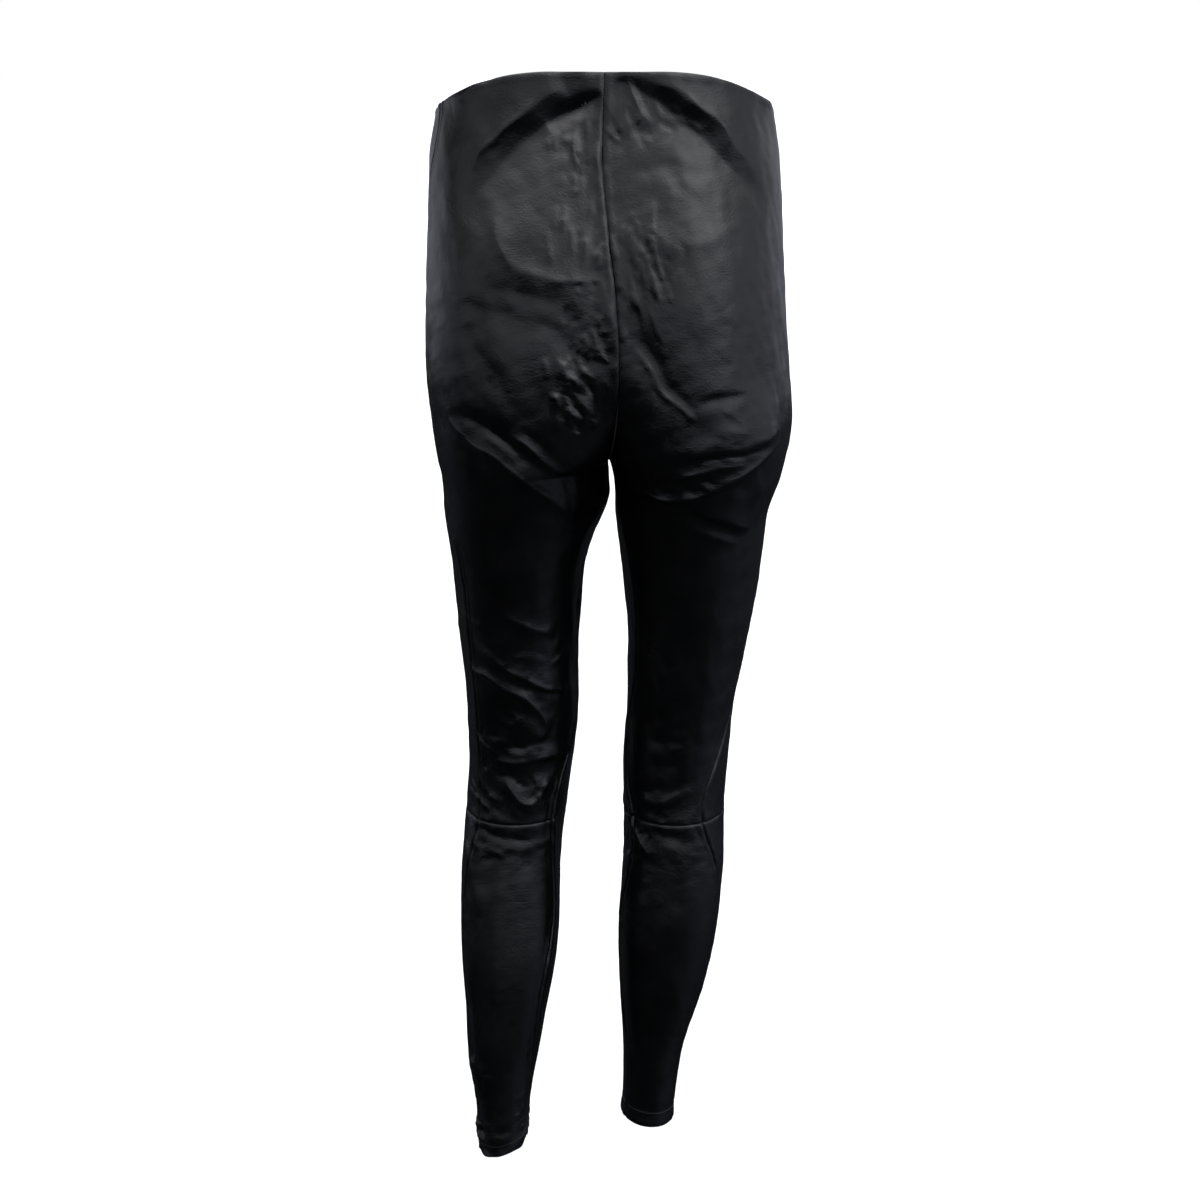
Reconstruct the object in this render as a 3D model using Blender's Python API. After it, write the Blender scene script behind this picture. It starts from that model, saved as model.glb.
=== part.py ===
"""High-waisted leather trousers in the form they have when worn.

Metres, +Z up.  The origin is the middle of the waist, where the wearer holds the garment up.
The front faces -Y, and the wearer's left leg is on +X.  Each half of the garment is a tube
of sections: a half torso above the crotch, and a closed leg below it.  The tube is cut along
its side and centre seams into a front and a back, and each of those at the knee, because one
skin isn't long enough for a whole leg.  The largest folds are raised and sunk in the wall.
"""
import math
from collections import namedtuple

import bpy
import numpy as np

# Leather
WALL = 0.0015            # one layer
TURNED_WALL = 0.0026     # where the edge is turned in at the waist and the hems
TURNED_DEPTH = 0.018
SEAM_GAP = 0.0003

# Waist edge: level at the sides, higher behind and lower in front
WAIST_RISE = 0.036
WAIST_BLEND = 0.16
WAIST_ARCH = 1.55        # how far the edge arches: 1 is a straight cut, seen from the side

# Crotch: where the centre seams start to turn under, and where they meet the inside legs
CROTCH_Z = -0.342
CROTCH_X = -0.0007
BACK_FORK_Z = -0.235
FRONT_FORK_Z = -0.262
FORK_POWER = 2.2
VALLEY_TOP_Z = -0.215    # from here down the rounded seat closes towards the seam
VALLEY_END_Z = -0.328

KNEE_Z = -0.7165

# Sections of each half.  outer and inner are measured across from the middle of the body,
# shift moves the leg back, and outseam and inseam turn the side seams towards the back.
Ring = namedtuple("Ring", "z outer inner shift outseam inseam")
LEFT_RINGS = (
    Ring(0.045, 0.1620, 0.0, 0.0, 14, 0),
    Ring(0.000, 0.1665, 0.0, 0.0, 20, 0),
    Ring(-0.045, 0.1734, 0.0, 0.0, 19, 0),
    Ring(-0.095, 0.1757, 0.0, 0.0, 8, 0),
    Ring(-0.150, 0.1772, 0.0, 0.0, 2, 0),
    Ring(-0.205, 0.1798, 0.0, 0.0, 0, 0),
    Ring(-0.265, 0.1784, 0.0, 0.0, 2, 0),
    Ring(-0.310, 0.1742, 0.0, 0.0, 7, 0),
    Ring(CROTCH_Z, 0.1700, CROTCH_X, 0.0, 14, 0),
    Ring(-0.362, 0.1662, -0.0014, 0.0, 20, 6),
    Ring(-0.380, 0.1652, -0.0016, 0.0, 24, 8),
    Ring(-0.408, 0.1634, 0.0088, 0.0, 30, 10),
    Ring(-0.440, 0.1590, 0.0200, 0.0, 35, 12),
    Ring(-0.490, 0.1546, 0.0266, 0.0, 37, 14),
    Ring(-0.550, 0.1494, 0.0296, 0.0, 38, 12),
    Ring(-0.612, 0.1452, 0.0306, -0.001, 40, 12),
    Ring(-0.665, 0.1450, 0.0360, -0.002, 43, 34),
    Ring(KNEE_Z, 0.1480, 0.0428, -0.001, 44, 42),
    Ring(-0.765, 0.1528, 0.0484, 0.002, 34, 32),
    Ring(-0.820, 0.1542, 0.0500, 0.006, 24, 26),
    Ring(-0.878, 0.1534, 0.0544, 0.011, 20, 36),
    Ring(-0.930, 0.1496, 0.0640, 0.016, 20, 38),
    Ring(-0.980, 0.1478, 0.0730, 0.021, 18, 28),
    Ring(-1.035, 0.1398, 0.0826, 0.026, 20, 16),
    Ring(-1.090, 0.1384, 0.0850, 0.030, 22, 14),
)
RIGHT_RINGS = (
    Ring(0.045, 0.1580, 0.0, 0.0, -8, 0),
    Ring(0.000, 0.1612, 0.0, 0.0, -8, 0),
    Ring(-0.045, 0.1666, 0.0, 0.0, -8, 0),
    Ring(-0.095, 0.1700, 0.0, 0.0, -8, 0),
    Ring(-0.150, 0.1726, 0.0, 0.0, -8, 0),
    Ring(-0.205, 0.1762, 0.0, 0.0, -6, 0),
    Ring(-0.255, 0.1804, 0.0, 0.0, -4, 0),
    Ring(-0.292, 0.1836, 0.0, 0.0, -2, 0),
    Ring(CROTCH_Z, 0.1774, -CROTCH_X, 0.0, 0, 0),
    Ring(-0.362, 0.1722, 0.0058, 0.0, 0, 12),
    Ring(-0.392, 0.1628, 0.0070, 0.0, 0, 24),
    Ring(-0.425, 0.1586, 0.0102, 0.0, 0, 30),
    Ring(-0.470, 0.1530, 0.0166, 0.0, 0, 32),
    Ring(-0.520, 0.1456, 0.0202, 0.0, 2, 32),
    Ring(-0.570, 0.1360, 0.0206, 0.0, 8, 28),
    Ring(-0.617, 0.1288, 0.0194, 0.0, 24, 16),
    Ring(-0.665, 0.1252, 0.0166, 0.0, 48, 18),
    Ring(KNEE_Z, 0.1226, 0.0168, 0.0, 58, 33),
    Ring(-0.765, 0.1222, 0.0170, 0.001, 36, 32),
    Ring(-0.820, 0.1188, 0.0126, 0.0, 20, 16),
    Ring(-0.880, 0.1096, 0.0119, -0.003, 16, 12),
    Ring(-0.935, 0.0956, 0.0142, -0.005, 16, 20),
    Ring(-0.985, 0.0808, 0.0170, -0.006, 16, 32),
    Ring(-1.035, 0.0742, 0.0166, -0.007, 18, 34),
    Ring(-1.080, 0.0690, 0.0150, -0.008, 18, 34),
)

# Side view, the same for both halves.  back and front are the furthest points, middle is the
# depth of the widest point, apex is how far out the back-most point lies (0 at the inner end,
# 1 at the outer), dip is the hollow along the centre back seam, and fullness squares the
# section's outer corners (2 is an ellipse).
Profile = namedtuple("Profile", "z back front middle apex dip fullness")
PROFILE = (
    Profile(0.045, 0.1060, -0.1085, 0.000, 0.30, 0.0000, 2.15),
    Profile(0.000, 0.1120, -0.1135, 0.000, 0.31, 0.0005, 2.15),
    Profile(-0.050, 0.1215, -0.1180, 0.001, 0.33, 0.0018, 2.15),
    Profile(-0.100, 0.1340, -0.1200, 0.003, 0.35, 0.0036, 2.18),
    Profile(-0.150, 0.1445, -0.1190, 0.005, 0.37, 0.0052, 2.20),
    Profile(-0.200, 0.1495, -0.1150, 0.006, 0.39, 0.0064, 2.20),
    Profile(-0.250, 0.1475, -0.1090, 0.007, 0.42, 0.0076, 2.18),
    Profile(-0.300, 0.1385, -0.1020, 0.007, 0.46, 0.0080, 2.12),
    Profile(CROTCH_Z, 0.1270, -0.0970, 0.007, 0.50, 0.0080, 2.06),
    Profile(-0.380, 0.1150, -0.0930, 0.006, 0.50, 0.0, 2.04),
    Profile(-0.430, 0.1010, -0.0900, 0.003, 0.50, 0.0, 2.02),
    Profile(-0.500, 0.0850, -0.0865, 0.000, 0.50, 0.0, 2.00),
    Profile(-0.580, 0.0715, -0.0815, -0.004, 0.50, 0.0, 2.00),
    Profile(-0.660, 0.0620, -0.0750, -0.007, 0.50, 0.0, 2.00),
    Profile(-0.720, 0.0585, -0.0680, -0.006, 0.50, 0.0, 2.00),
    Profile(-0.780, 0.0592, -0.0595, -0.001, 0.50, 0.0, 2.00),
    Profile(-0.850, 0.0608, -0.0485, 0.006, 0.50, 0.0, 2.00),
    Profile(-0.920, 0.0568, -0.0420, 0.008, 0.50, 0.0, 2.00),
    Profile(-0.990, 0.0495, -0.0385, 0.005, 0.50, 0.0, 2.00),
    Profile(-1.040, 0.0450, -0.0385, 0.003, 0.50, 0.0, 2.00),
    Profile(-1.090, 0.0420, -0.0410, 0.000, 0.50, 0.0, 2.00),
)

# The centre back seam wanders a little, as sewn
BackSeam = namedtuple("BackSeam", "z x")
BACK_SEAM = (
    BackSeam(0.045, 0.0030),
    BackSeam(0.000, 0.0050),
    BackSeam(-0.045, 0.0052),
    BackSeam(-0.105, 0.0000),
    BackSeam(-0.150, -0.0050),
    BackSeam(-0.195, -0.0092),
    BackSeam(-0.250, -0.0100),
    BackSeam(-0.300, -0.0066),
    BackSeam(CROTCH_Z, CROTCH_X),
)

# Largest folds.  Each runs through three places, given as (across from the middle, height),
# and is a ridge with a positive height or a trough with a negative one.  width is where it
# has fallen to about a third of its height.
Fold = namedtuple("Fold", "start middle end height width")
LEFT_BACK_FOLDS = (
    Fold((0.048, 0.019), (0.106, -0.025), (0.166, -0.082), 0.0042, 0.012),    # under the waist
    Fold((0.008, 0.028), (0.068, -0.013), (0.132, -0.064), -0.0050, 0.014),
    Fold((0.106, -0.088), (0.098, -0.132), (0.058, -0.158), 0.0018, 0.016),   # seat
    Fold((0.140, -0.143), (0.083, -0.175), (0.030, -0.208), -0.0024, 0.015),
    Fold((0.136, -0.281), (0.083, -0.322), (0.053, -0.352), -0.0045, 0.010),  # under the seat
    Fold((0.154, -0.292), (0.099, -0.330), (0.033, -0.390), 0.0055, 0.010),
    Fold((0.088, -0.292), (0.052, -0.332), (0.030, -0.358), 0.0038, 0.008),
    Fold((0.104, -0.486), (0.074, -0.501), (0.036, -0.521), 0.0026, 0.008),   # thigh
    Fold((0.134, -0.516), (0.087, -0.552), (0.033, -0.574), 0.0050, 0.010),   # above the knee
    Fold((0.128, -0.530), (0.084, -0.566), (0.036, -0.588), -0.0028, 0.009),
    Fold((0.145, -0.540), (0.106, -0.560), (0.064, -0.594), 0.0038, 0.010),
    Fold((0.143, -0.606), (0.096, -0.646), (0.038, -0.630), 0.0038, 0.010),
    Fold((0.118, -0.662), (0.090, -0.668), (0.050, -0.652), -0.0030, 0.008),
    Fold((0.110, -0.664), (0.086, -0.697), (0.060, -0.664), 0.0030, 0.010),   # at the knee seam
    Fold((0.140, -0.732), (0.106, -0.748), (0.066, -0.744), 0.0024, 0.010),
)
RIGHT_BACK_FOLDS = (
    Fold((0.042, 0.028), (0.104, -0.013), (0.170, -0.104), 0.0042, 0.012),    # under the waist
    Fold((0.034, 0.028), (0.086, -0.012), (0.136, -0.058), -0.0050, 0.013),
    Fold((0.030, -0.166), (0.042, -0.222), (0.084, -0.280), -0.0022, 0.011),  # seat
    Fold((0.010, -0.325), (0.080, -0.322), (0.165, -0.309), -0.0048, 0.010),  # under the seat
    Fold((0.030, -0.346), (0.068, -0.336), (0.112, -0.323), 0.0034, 0.008),
    Fold((0.036, -0.359), (0.100, -0.348), (0.156, -0.322), 0.0052, 0.009),
    Fold((0.034, -0.370), (0.078, -0.374), (0.124, -0.394), -0.0034, 0.009),
    Fold((0.078, -0.386), (0.098, -0.394), (0.122, -0.406), 0.0020, 0.010),
    Fold((0.030, -0.628), (0.068, -0.625), (0.108, -0.633), -0.0024, 0.010),  # above the knee
    Fold((0.024, -0.680), (0.040, -0.696), (0.066, -0.692), 0.0022, 0.010),
)
LEFT_FRONT_FOLDS = (
    Fold((0.010, -0.246), (0.062, -0.262), (0.128, -0.234), -0.0026, 0.011),  # lap
    Fold((0.008, -0.292), (0.066, -0.296), (0.146, -0.262), 0.0040, 0.010),
    Fold((0.018, -0.316), (0.074, -0.322), (0.150, -0.290), -0.0034, 0.009),
    Fold((0.020, -0.346), (0.070, -0.350), (0.132, -0.326), 0.0034, 0.009),
    Fold((0.040, -0.604), (0.086, -0.622), (0.136, -0.600), 0.0030, 0.010),   # knee
    Fold((0.044, -0.652), (0.094, -0.664), (0.142, -0.640), -0.0026, 0.010),
    Fold((0.052, -0.772), (0.098, -0.788), (0.144, -0.764), 0.0032, 0.010),
)
RIGHT_FRONT_FOLDS = (
    Fold((0.010, -0.258), (0.070, -0.268), (0.140, -0.238), -0.0024, 0.011),  # lap
    Fold((0.008, -0.302), (0.076, -0.300), (0.154, -0.272), 0.0036, 0.010),
    Fold((0.020, -0.330), (0.080, -0.330), (0.150, -0.306), -0.0030, 0.009),
    Fold((0.026, -0.764), (0.068, -0.776), (0.112, -0.758), 0.0026, 0.010),   # knee
)
FOLD_POINTS = 15

# Hem edges: the height at the outer and the inner side of the ankle
Hem = namedtuple("Hem", "outer_z inner_z")

Half = namedtuple("Half", "name sign rings hem back_folds front_folds")
LEFT = Half("left", 1, LEFT_RINGS, Hem(-1.086, -1.074), LEFT_BACK_FOLDS, LEFT_FRONT_FOLDS)
RIGHT = Half("right", -1, RIGHT_RINGS, Hem(-1.068, -1.061), RIGHT_BACK_FOLDS, RIGHT_FRONT_FOLDS)

# Rows of the wall: number of steps in each stretch between two levels
Stretch = namedtuple("Stretch", "top bottom steps")
UPPER_STRETCHES = (
    Stretch(0.0, -0.115, 11),
    Stretch(-0.115, BACK_FORK_Z, 6),
    Stretch(BACK_FORK_Z, CROTCH_Z, 10),
    Stretch(CROTCH_Z, -0.405, 7),
    Stretch(-0.405, -0.485, 3),
    Stretch(-0.485, KNEE_Z, 16),
)
LOWER_STEPS = 14
BACK_COLUMNS = 19
FRONT_COLUMNS = 14
CALF_COLUMNS = 11
SHIN_COLUMNS = 13
ROW_SAMPLES = 241        # points that each row is measured with


def smoothstep(value):
    """Rise softly from 0 to 1 as value goes from 0 to 1."""
    value = np.clip(value, 0.0, 1.0)
    return value * value * (3.0 - 2.0 * value)


def spline(rows, column, z):
    """Read one column of a table at the heights z, on a natural cubic through its rows."""
    knots = np.array([row.z for row in rows])[::-1]
    values = np.array([getattr(row, column) for row in rows], dtype=float)[::-1]
    step = np.diff(knots)
    slope = np.diff(values) / step
    count = len(knots)
    matrix = np.eye(count)
    bend = np.zeros(count)
    for i in range(1, count - 1):
        matrix[i, i - 1:i + 2] = step[i - 1], 2.0 * (step[i - 1] + step[i]), step[i]
        bend[i] = 6.0 * (slope[i] - slope[i - 1])
    bend = np.linalg.solve(matrix, bend)
    z = np.clip(z, knots[0], knots[-1])
    i = np.clip(np.searchsorted(knots, z) - 1, 0, count - 2)
    above, below = z - knots[i], knots[i + 1] - z
    cubic = (bend[i] * below ** 3 + bend[i + 1] * above ** 3) / (6.0 * step[i])
    low = (values[i] / step[i] - bend[i] * step[i] / 6.0) * below
    high = (values[i + 1] / step[i] - bend[i + 1] * step[i] / 6.0) * above
    return cubic + low + high


def closing(z):
    """0 where the seat bridges the centre seam, 1 where the two halves close against it."""
    return smoothstep((VALLEY_TOP_Z - z) / (VALLEY_TOP_Z - VALLEY_END_Z))


def fork(z, start_z):
    """1 down to start_z, then falling to 0 at the crotch as the centre seam turns under."""
    depth = np.clip((start_z - z) / (start_z - CROTCH_Z), 0.0, 1.0)
    return np.sqrt(1.0 - depth ** FORK_POWER)


def surface(half, z, angle):
    """Points of one half at the heights z and the angles round the section.

    0 degrees is the outer side, 90 the back, 180 the inner end, and the front is negative.
    Each quarter is an arc between two of the section's four outermost points.  Above the
    crotch the inner end lies on the centre seam, which is a shallow valley.
    """
    z, angle = np.broadcast_arrays(np.asarray(z, float), np.asarray(angle, float))
    torso = z >= CROTCH_Z
    angle = np.where(torso, np.clip(angle, -180.0, 180.0), (angle + 180.0) % 360.0 - 180.0)
    behind = angle >= 0.0
    turn = np.radians(np.abs(angle))

    outer = spline(half.rings, "outer", z)
    leg_rings = half.rings[next(i for i, ring in enumerate(half.rings) if ring.z == CROTCH_Z):]
    leg_inner = spline(leg_rings, "inner", z) + 0.5 * SEAM_GAP
    seam_x = np.where(behind, spline(BACK_SEAM, "x", z), CROTCH_X * smoothstep(z / CROTCH_Z))
    inner = np.where(torso, half.sign * seam_x + 0.5 * SEAM_GAP, leg_inner)
    crest_base = spline(half.rings, "inner", z)
    apex = crest_base + (outer - crest_base) * spline(PROFILE, "apex", z)
    middle = spline(PROFILE, "middle", z)
    furthest = np.where(behind, spline(PROFILE, "back", z), spline(PROFILE, "front", z))
    dip = np.where(behind, spline(PROFILE, "dip", z), 0.0)
    turned = np.where(behind, fork(z, BACK_FORK_Z), fork(z, FRONT_FORK_Z))
    inner_y = np.where(torso, middle + (furthest - dip - middle) * turned, middle)

    # Outer quarter
    power = 2.0 / spline(PROFILE, "fullness", z)
    quarter = np.clip(turn, 0.0, math.pi / 2.0)
    x = apex + (outer - apex) * np.cos(quarter) ** power
    y = middle + (furthest - middle) * np.sin(quarter) ** power

    # Inner quarter: an arc on the leg, a soft wave at the seat
    quarter = np.clip(turn - math.pi / 2.0, 0.0, math.pi / 2.0)
    across = closing(z) * np.sin(quarter) + (1.0 - closing(z)) * quarter / (math.pi / 2.0)
    along = closing(z) * np.cos(quarter) + (1.0 - closing(z)) * np.cos(quarter) ** 2
    inside = turn > math.pi / 2.0
    x = np.where(inside, apex + (inner - apex) * across, x)
    y = np.where(inside, inner_y + (furthest - inner_y) * along, y)
    y = y + spline(half.rings, "shift", z)
    return np.stack([half.sign * x, y, z], axis=-1)


def seam_angles(half, face, z):
    """Angles where a panel starts, at the outer seam, and ends, at the inner one."""
    outseam = spline(half.rings, "outseam", z)
    inseam = np.where(z < CROTCH_Z, spline(half.rings, "inseam", z), 0.0)
    end = 180.0 - inseam if face == "back" else -180.0 - inseam
    return outseam, end


def hem_level(half):
    return 0.5 * (half.hem.outer_z + half.hem.inner_z)


def height(half, face, level, angle, across):
    """Height of a row's point: the level, bent to the waist edge, the crotch and the hem."""
    lift = np.sin(np.radians(np.minimum(np.abs(angle), 90.0))) ** WAIST_ARCH * np.sign(angle)
    z = level + WAIST_RISE * lift * np.clip(1.0 + level / WAIST_BLEND, 0.0, 1.0) ** 2
    start = BACK_FORK_Z if face == "back" else FRONT_FORK_Z
    depth = np.clip((start - level) / (start - CROTCH_Z), 0.0, 1.0)
    under = start - (start - CROTCH_Z) * np.sin(0.5 * math.pi * depth)
    inward = smoothstep((across - 0.35) / 0.65)
    z = z + np.where((depth > 0.0) & (depth < 1.0), (under - level) * inward, 0.0)
    slant = 0.5 * (half.hem.outer_z - half.hem.inner_z) * np.cos(np.radians(angle))
    return z + slant * smoothstep((KNEE_Z - level) / (KNEE_Z - hem_level(half)))


def row_levels(half, part):
    """Levels of a panel's rows, from the waist to the knee or from the knee to the hem."""
    half_gap = 0.5 * SEAM_GAP
    if part == "lower":
        return np.linspace(KNEE_Z - half_gap, hem_level(half), LOWER_STEPS + 1)
    levels = [0.0]
    for stretch in UPPER_STRETCHES:
        levels += list(np.linspace(stretch.top, stretch.bottom, stretch.steps + 1)[1:])
    return np.array(levels[:-1] + [KNEE_Z + half_gap])


def panel_grid(half, face, levels, columns):
    """Points of a panel without folds, evenly spaced along each row between the seams."""
    grid = np.empty((len(levels), columns, 3))
    across = np.linspace(0.0, 1.0, ROW_SAMPLES)
    for row, level in enumerate(levels):
        outseam, end = seam_angles(half, face, np.array(level))
        angle = outseam + (end - outseam) * across
        points = surface(half, height(half, face, level, angle, across), angle)
        steps = np.linalg.norm(np.diff(points, axis=0), axis=1)
        length = np.concatenate([[0.0], np.cumsum(steps)])
        half_gap = 0.5 * SEAM_GAP
        stops = np.linspace(half_gap, length[-1] - half_gap * closing(level), columns)
        for axis in range(3):
            grid[row, :, axis] = np.interp(stops, length, points[:, axis])
    return grid


def outward_normals(grid, turning):
    """Unit normals of a grid, from its neighbours down and across."""
    down = np.gradient(grid, axis=0, edge_order=2)
    across = np.gradient(grid, axis=1, edge_order=2)
    normal = np.cross(down, across) * turning
    return normal / np.linalg.norm(normal, axis=2, keepdims=True)


def fold_path(half, face, fold):
    """Points along a fold: a parabola through its three places, laid on the surface."""
    t = np.linspace(0.0, 1.0, FOLD_POINTS)[:, None]
    start, middle, end = (np.array(place) for place in fold[:3])
    places = (1 - t) * (1 - 2 * t) * start + 4 * t * (1 - t) * middle + t * (2 * t - 1) * end
    angles = np.linspace(0.0, 180.0 if face == "back" else -180.0, ROW_SAMPLES)
    sections = surface(half, places[:, 1:], angles[None, :])
    path = np.empty((FOLD_POINTS, 3))
    for row, (across, _) in enumerate(places):
        outward = half.sign * sections[row, :, 0]
        for axis in range(3):
            path[row, axis] = np.interp(-across, -outward, sections[row, :, axis])
    return path


def fold_relief(fold, path, points):
    """Height of one fold at the points: a bell across its path, fading to its two ends."""
    start = path[:-1]
    run = np.diff(path, axis=0)
    reach = points[:, None, :] - start
    along = np.clip((reach * run).sum(axis=2) / (run * run).sum(axis=1), 0.0, 1.0)
    distance = np.linalg.norm(reach - along[:, :, None] * run, axis=2)
    nearest = distance.argmin(axis=1)
    row = np.arange(len(points))
    position = (nearest + along[row, nearest]) / len(run)
    fade = 1.0 - (2.0 * position - 1.0) ** 4
    return fold.height * fade * np.exp(-(distance[row, nearest] / fold.width) ** 2)


def folded(grid, normals):
    """Raise and sink the folds in a grid.  Where the halves close, the seam stays clear."""
    points = grid.reshape(-1, 3)
    relief = np.zeros(len(points))
    for half in (LEFT, RIGHT):
        for face, folds in (("back", half.back_folds), ("front", half.front_folds)):
            for fold in folds:
                relief += fold_relief(fold, fold_path(half, face, fold), points)
    clear = smoothstep((np.abs(points[:, 0] - CROTCH_X) - 0.002) / 0.026)
    torso_closing = np.where(points[:, 2] > CROTCH_Z - 0.01, closing(points[:, 2]), 0.0)
    relief *= 1.0 - torso_closing * (1.0 - clear)
    return grid + normals * relief.reshape(grid.shape[:2])[:, :, None]


def wall_mesh(name, outer, inner, turning):
    """A closed wall between two grids of the same size."""
    rows, columns = outer.shape[:2]
    near = np.arange(rows * columns).reshape(rows, columns)
    far = near + rows * columns
    strips = (
        (near[:-1, :-1], near[1:, :-1], near[1:, 1:], near[:-1, 1:]),
        (far[:-1, :-1], far[:-1, 1:], far[1:, 1:], far[1:, :-1]),
        (near[0, :-1], near[0, 1:], far[0, 1:], far[0, :-1]),
        (near[-1, 1:], near[-1, :-1], far[-1, :-1], far[-1, 1:]),
        (near[1:, 0], near[:-1, 0], far[:-1, 0], far[1:, 0]),
        (near[:-1, -1], near[1:, -1], far[1:, -1], far[:-1, -1]),
    )
    faces = np.concatenate([np.stack([corner.ravel() for corner in strip], axis=1) for strip in strips])
    if turning < 0:
        faces = faces[:, ::-1]
    points = np.concatenate([outer.reshape(-1, 3), inner.reshape(-1, 3)])
    mesh = bpy.data.meshes.new(name)
    mesh.from_pydata(points.tolist(), [], faces.tolist())
    mesh.shade_smooth()
    mesh.set_sharp_from_angle(angle=math.radians(50))
    return mesh


def add_panel(half, face, part, columns, leather, collection):
    """Build one cut panel as a wall of leather, and name it for its place."""
    levels = row_levels(half, part)
    base = panel_grid(half, face, levels, columns)
    turning = half.sign if face == "back" else -half.sign
    normals = outward_normals(base, turning)
    outer = folded(base, normals)
    from_edge = -levels if part == "upper" else levels - hem_level(half)
    wall = WALL + (TURNED_WALL - WALL) * smoothstep(1.5 - from_edge / TURNED_DEPTH)
    inner = outer - normals * wall[:, None, None]
    name = f"{face}_{half.name}_{part}"
    panel = bpy.data.objects.new(name, wall_mesh(name, outer, inner, turning))
    panel.data.materials.append(leather)
    collection.objects.link(panel)
    triangles = panel.modifiers.new("shortest_diagonals", "TRIANGULATE")
    triangles.quad_method = "SHORTEST_DIAGONAL"


def leather_material():
    """Soft black lambskin."""
    material = bpy.data.materials.new("black_leather")
    material.use_nodes = True
    shader = material.node_tree.nodes["Principled BSDF"]
    shader.inputs["Base Color"].default_value = (0.012, 0.013, 0.015, 1.0)
    shader.inputs["Roughness"].default_value = 0.42
    shader.inputs["Metallic"].default_value = 0.0
    return material


def main():
    for scene_object in list(bpy.data.objects):
        bpy.data.objects.remove(scene_object)
    trousers = bpy.data.collections.new("leather_trousers")
    bpy.context.scene.collection.children.link(trousers)
    leather = leather_material()
    for half in (LEFT, RIGHT):
        add_panel(half, "front", "upper", FRONT_COLUMNS, leather, trousers)
        add_panel(half, "front", "lower", SHIN_COLUMNS, leather, trousers)
        add_panel(half, "back", "upper", BACK_COLUMNS, leather, trousers)
        add_panel(half, "back", "lower", CALF_COLUMNS, leather, trousers)


if __name__ == "__main__":
    main()
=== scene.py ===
"""Leather trousers: the leather panels with their creases, the hem stitches and the studio.

Every panel is worked out as a grid on the form that the trousers have when worn.  Metres in
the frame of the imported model; the crease tables are in millimetres and degrees.
"""
import math
from collections import namedtuple

import bpy
import numpy as np
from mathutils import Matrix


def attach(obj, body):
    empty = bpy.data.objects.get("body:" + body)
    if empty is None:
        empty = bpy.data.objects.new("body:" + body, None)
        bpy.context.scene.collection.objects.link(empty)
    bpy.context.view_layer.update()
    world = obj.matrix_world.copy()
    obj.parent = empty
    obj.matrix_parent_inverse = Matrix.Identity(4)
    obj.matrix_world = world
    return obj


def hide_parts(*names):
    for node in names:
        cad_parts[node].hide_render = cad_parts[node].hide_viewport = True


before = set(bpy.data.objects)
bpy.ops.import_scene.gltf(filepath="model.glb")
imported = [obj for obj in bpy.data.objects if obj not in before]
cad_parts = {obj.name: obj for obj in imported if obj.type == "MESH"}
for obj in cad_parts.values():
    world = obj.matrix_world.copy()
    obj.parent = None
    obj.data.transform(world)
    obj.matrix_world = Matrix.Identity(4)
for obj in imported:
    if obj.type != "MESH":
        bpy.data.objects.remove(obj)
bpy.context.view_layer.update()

bl_info = {
    "name": "Leather Trousers",
    "version": (1, 0, 0),
    "blender": (4, 5, 0),
    "location": "3D View > Sidebar > Trousers",
    "description": "Creased leather panels, hem stitches and a studio for a pair of trousers",
    "category": "Object",
}


def table(kind, *rows):
    """The rows of a table as named tuples of one kind."""
    return tuple(kind(*row) for row in rows)


def crease_table(*rows):
    """Creases from rows of a height, width, sharp and lean with the places after them."""
    return tuple(Crease(row[4:], *row[:4]) for row in rows)


# ---------------------------------------------------------------------------------------------
# Form of the trousers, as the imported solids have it, with the seat a little fuller low down
# ---------------------------------------------------------------------------------------------
SEAM_GAP = 0.0003
WAIST_RISE = 0.036
WAIST_BLEND = 0.16
WAIST_ARCH = 1.55
CROTCH_Z = -0.342
CROTCH_X = -0.0007
BACK_FORK_Z = -0.235
FRONT_FORK_Z = -0.262
FORK_POWER = 2.2
VALLEY_TOP_Z = -0.215
VALLEY_END_Z = -0.328
KNEE_Z = -0.7165

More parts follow.
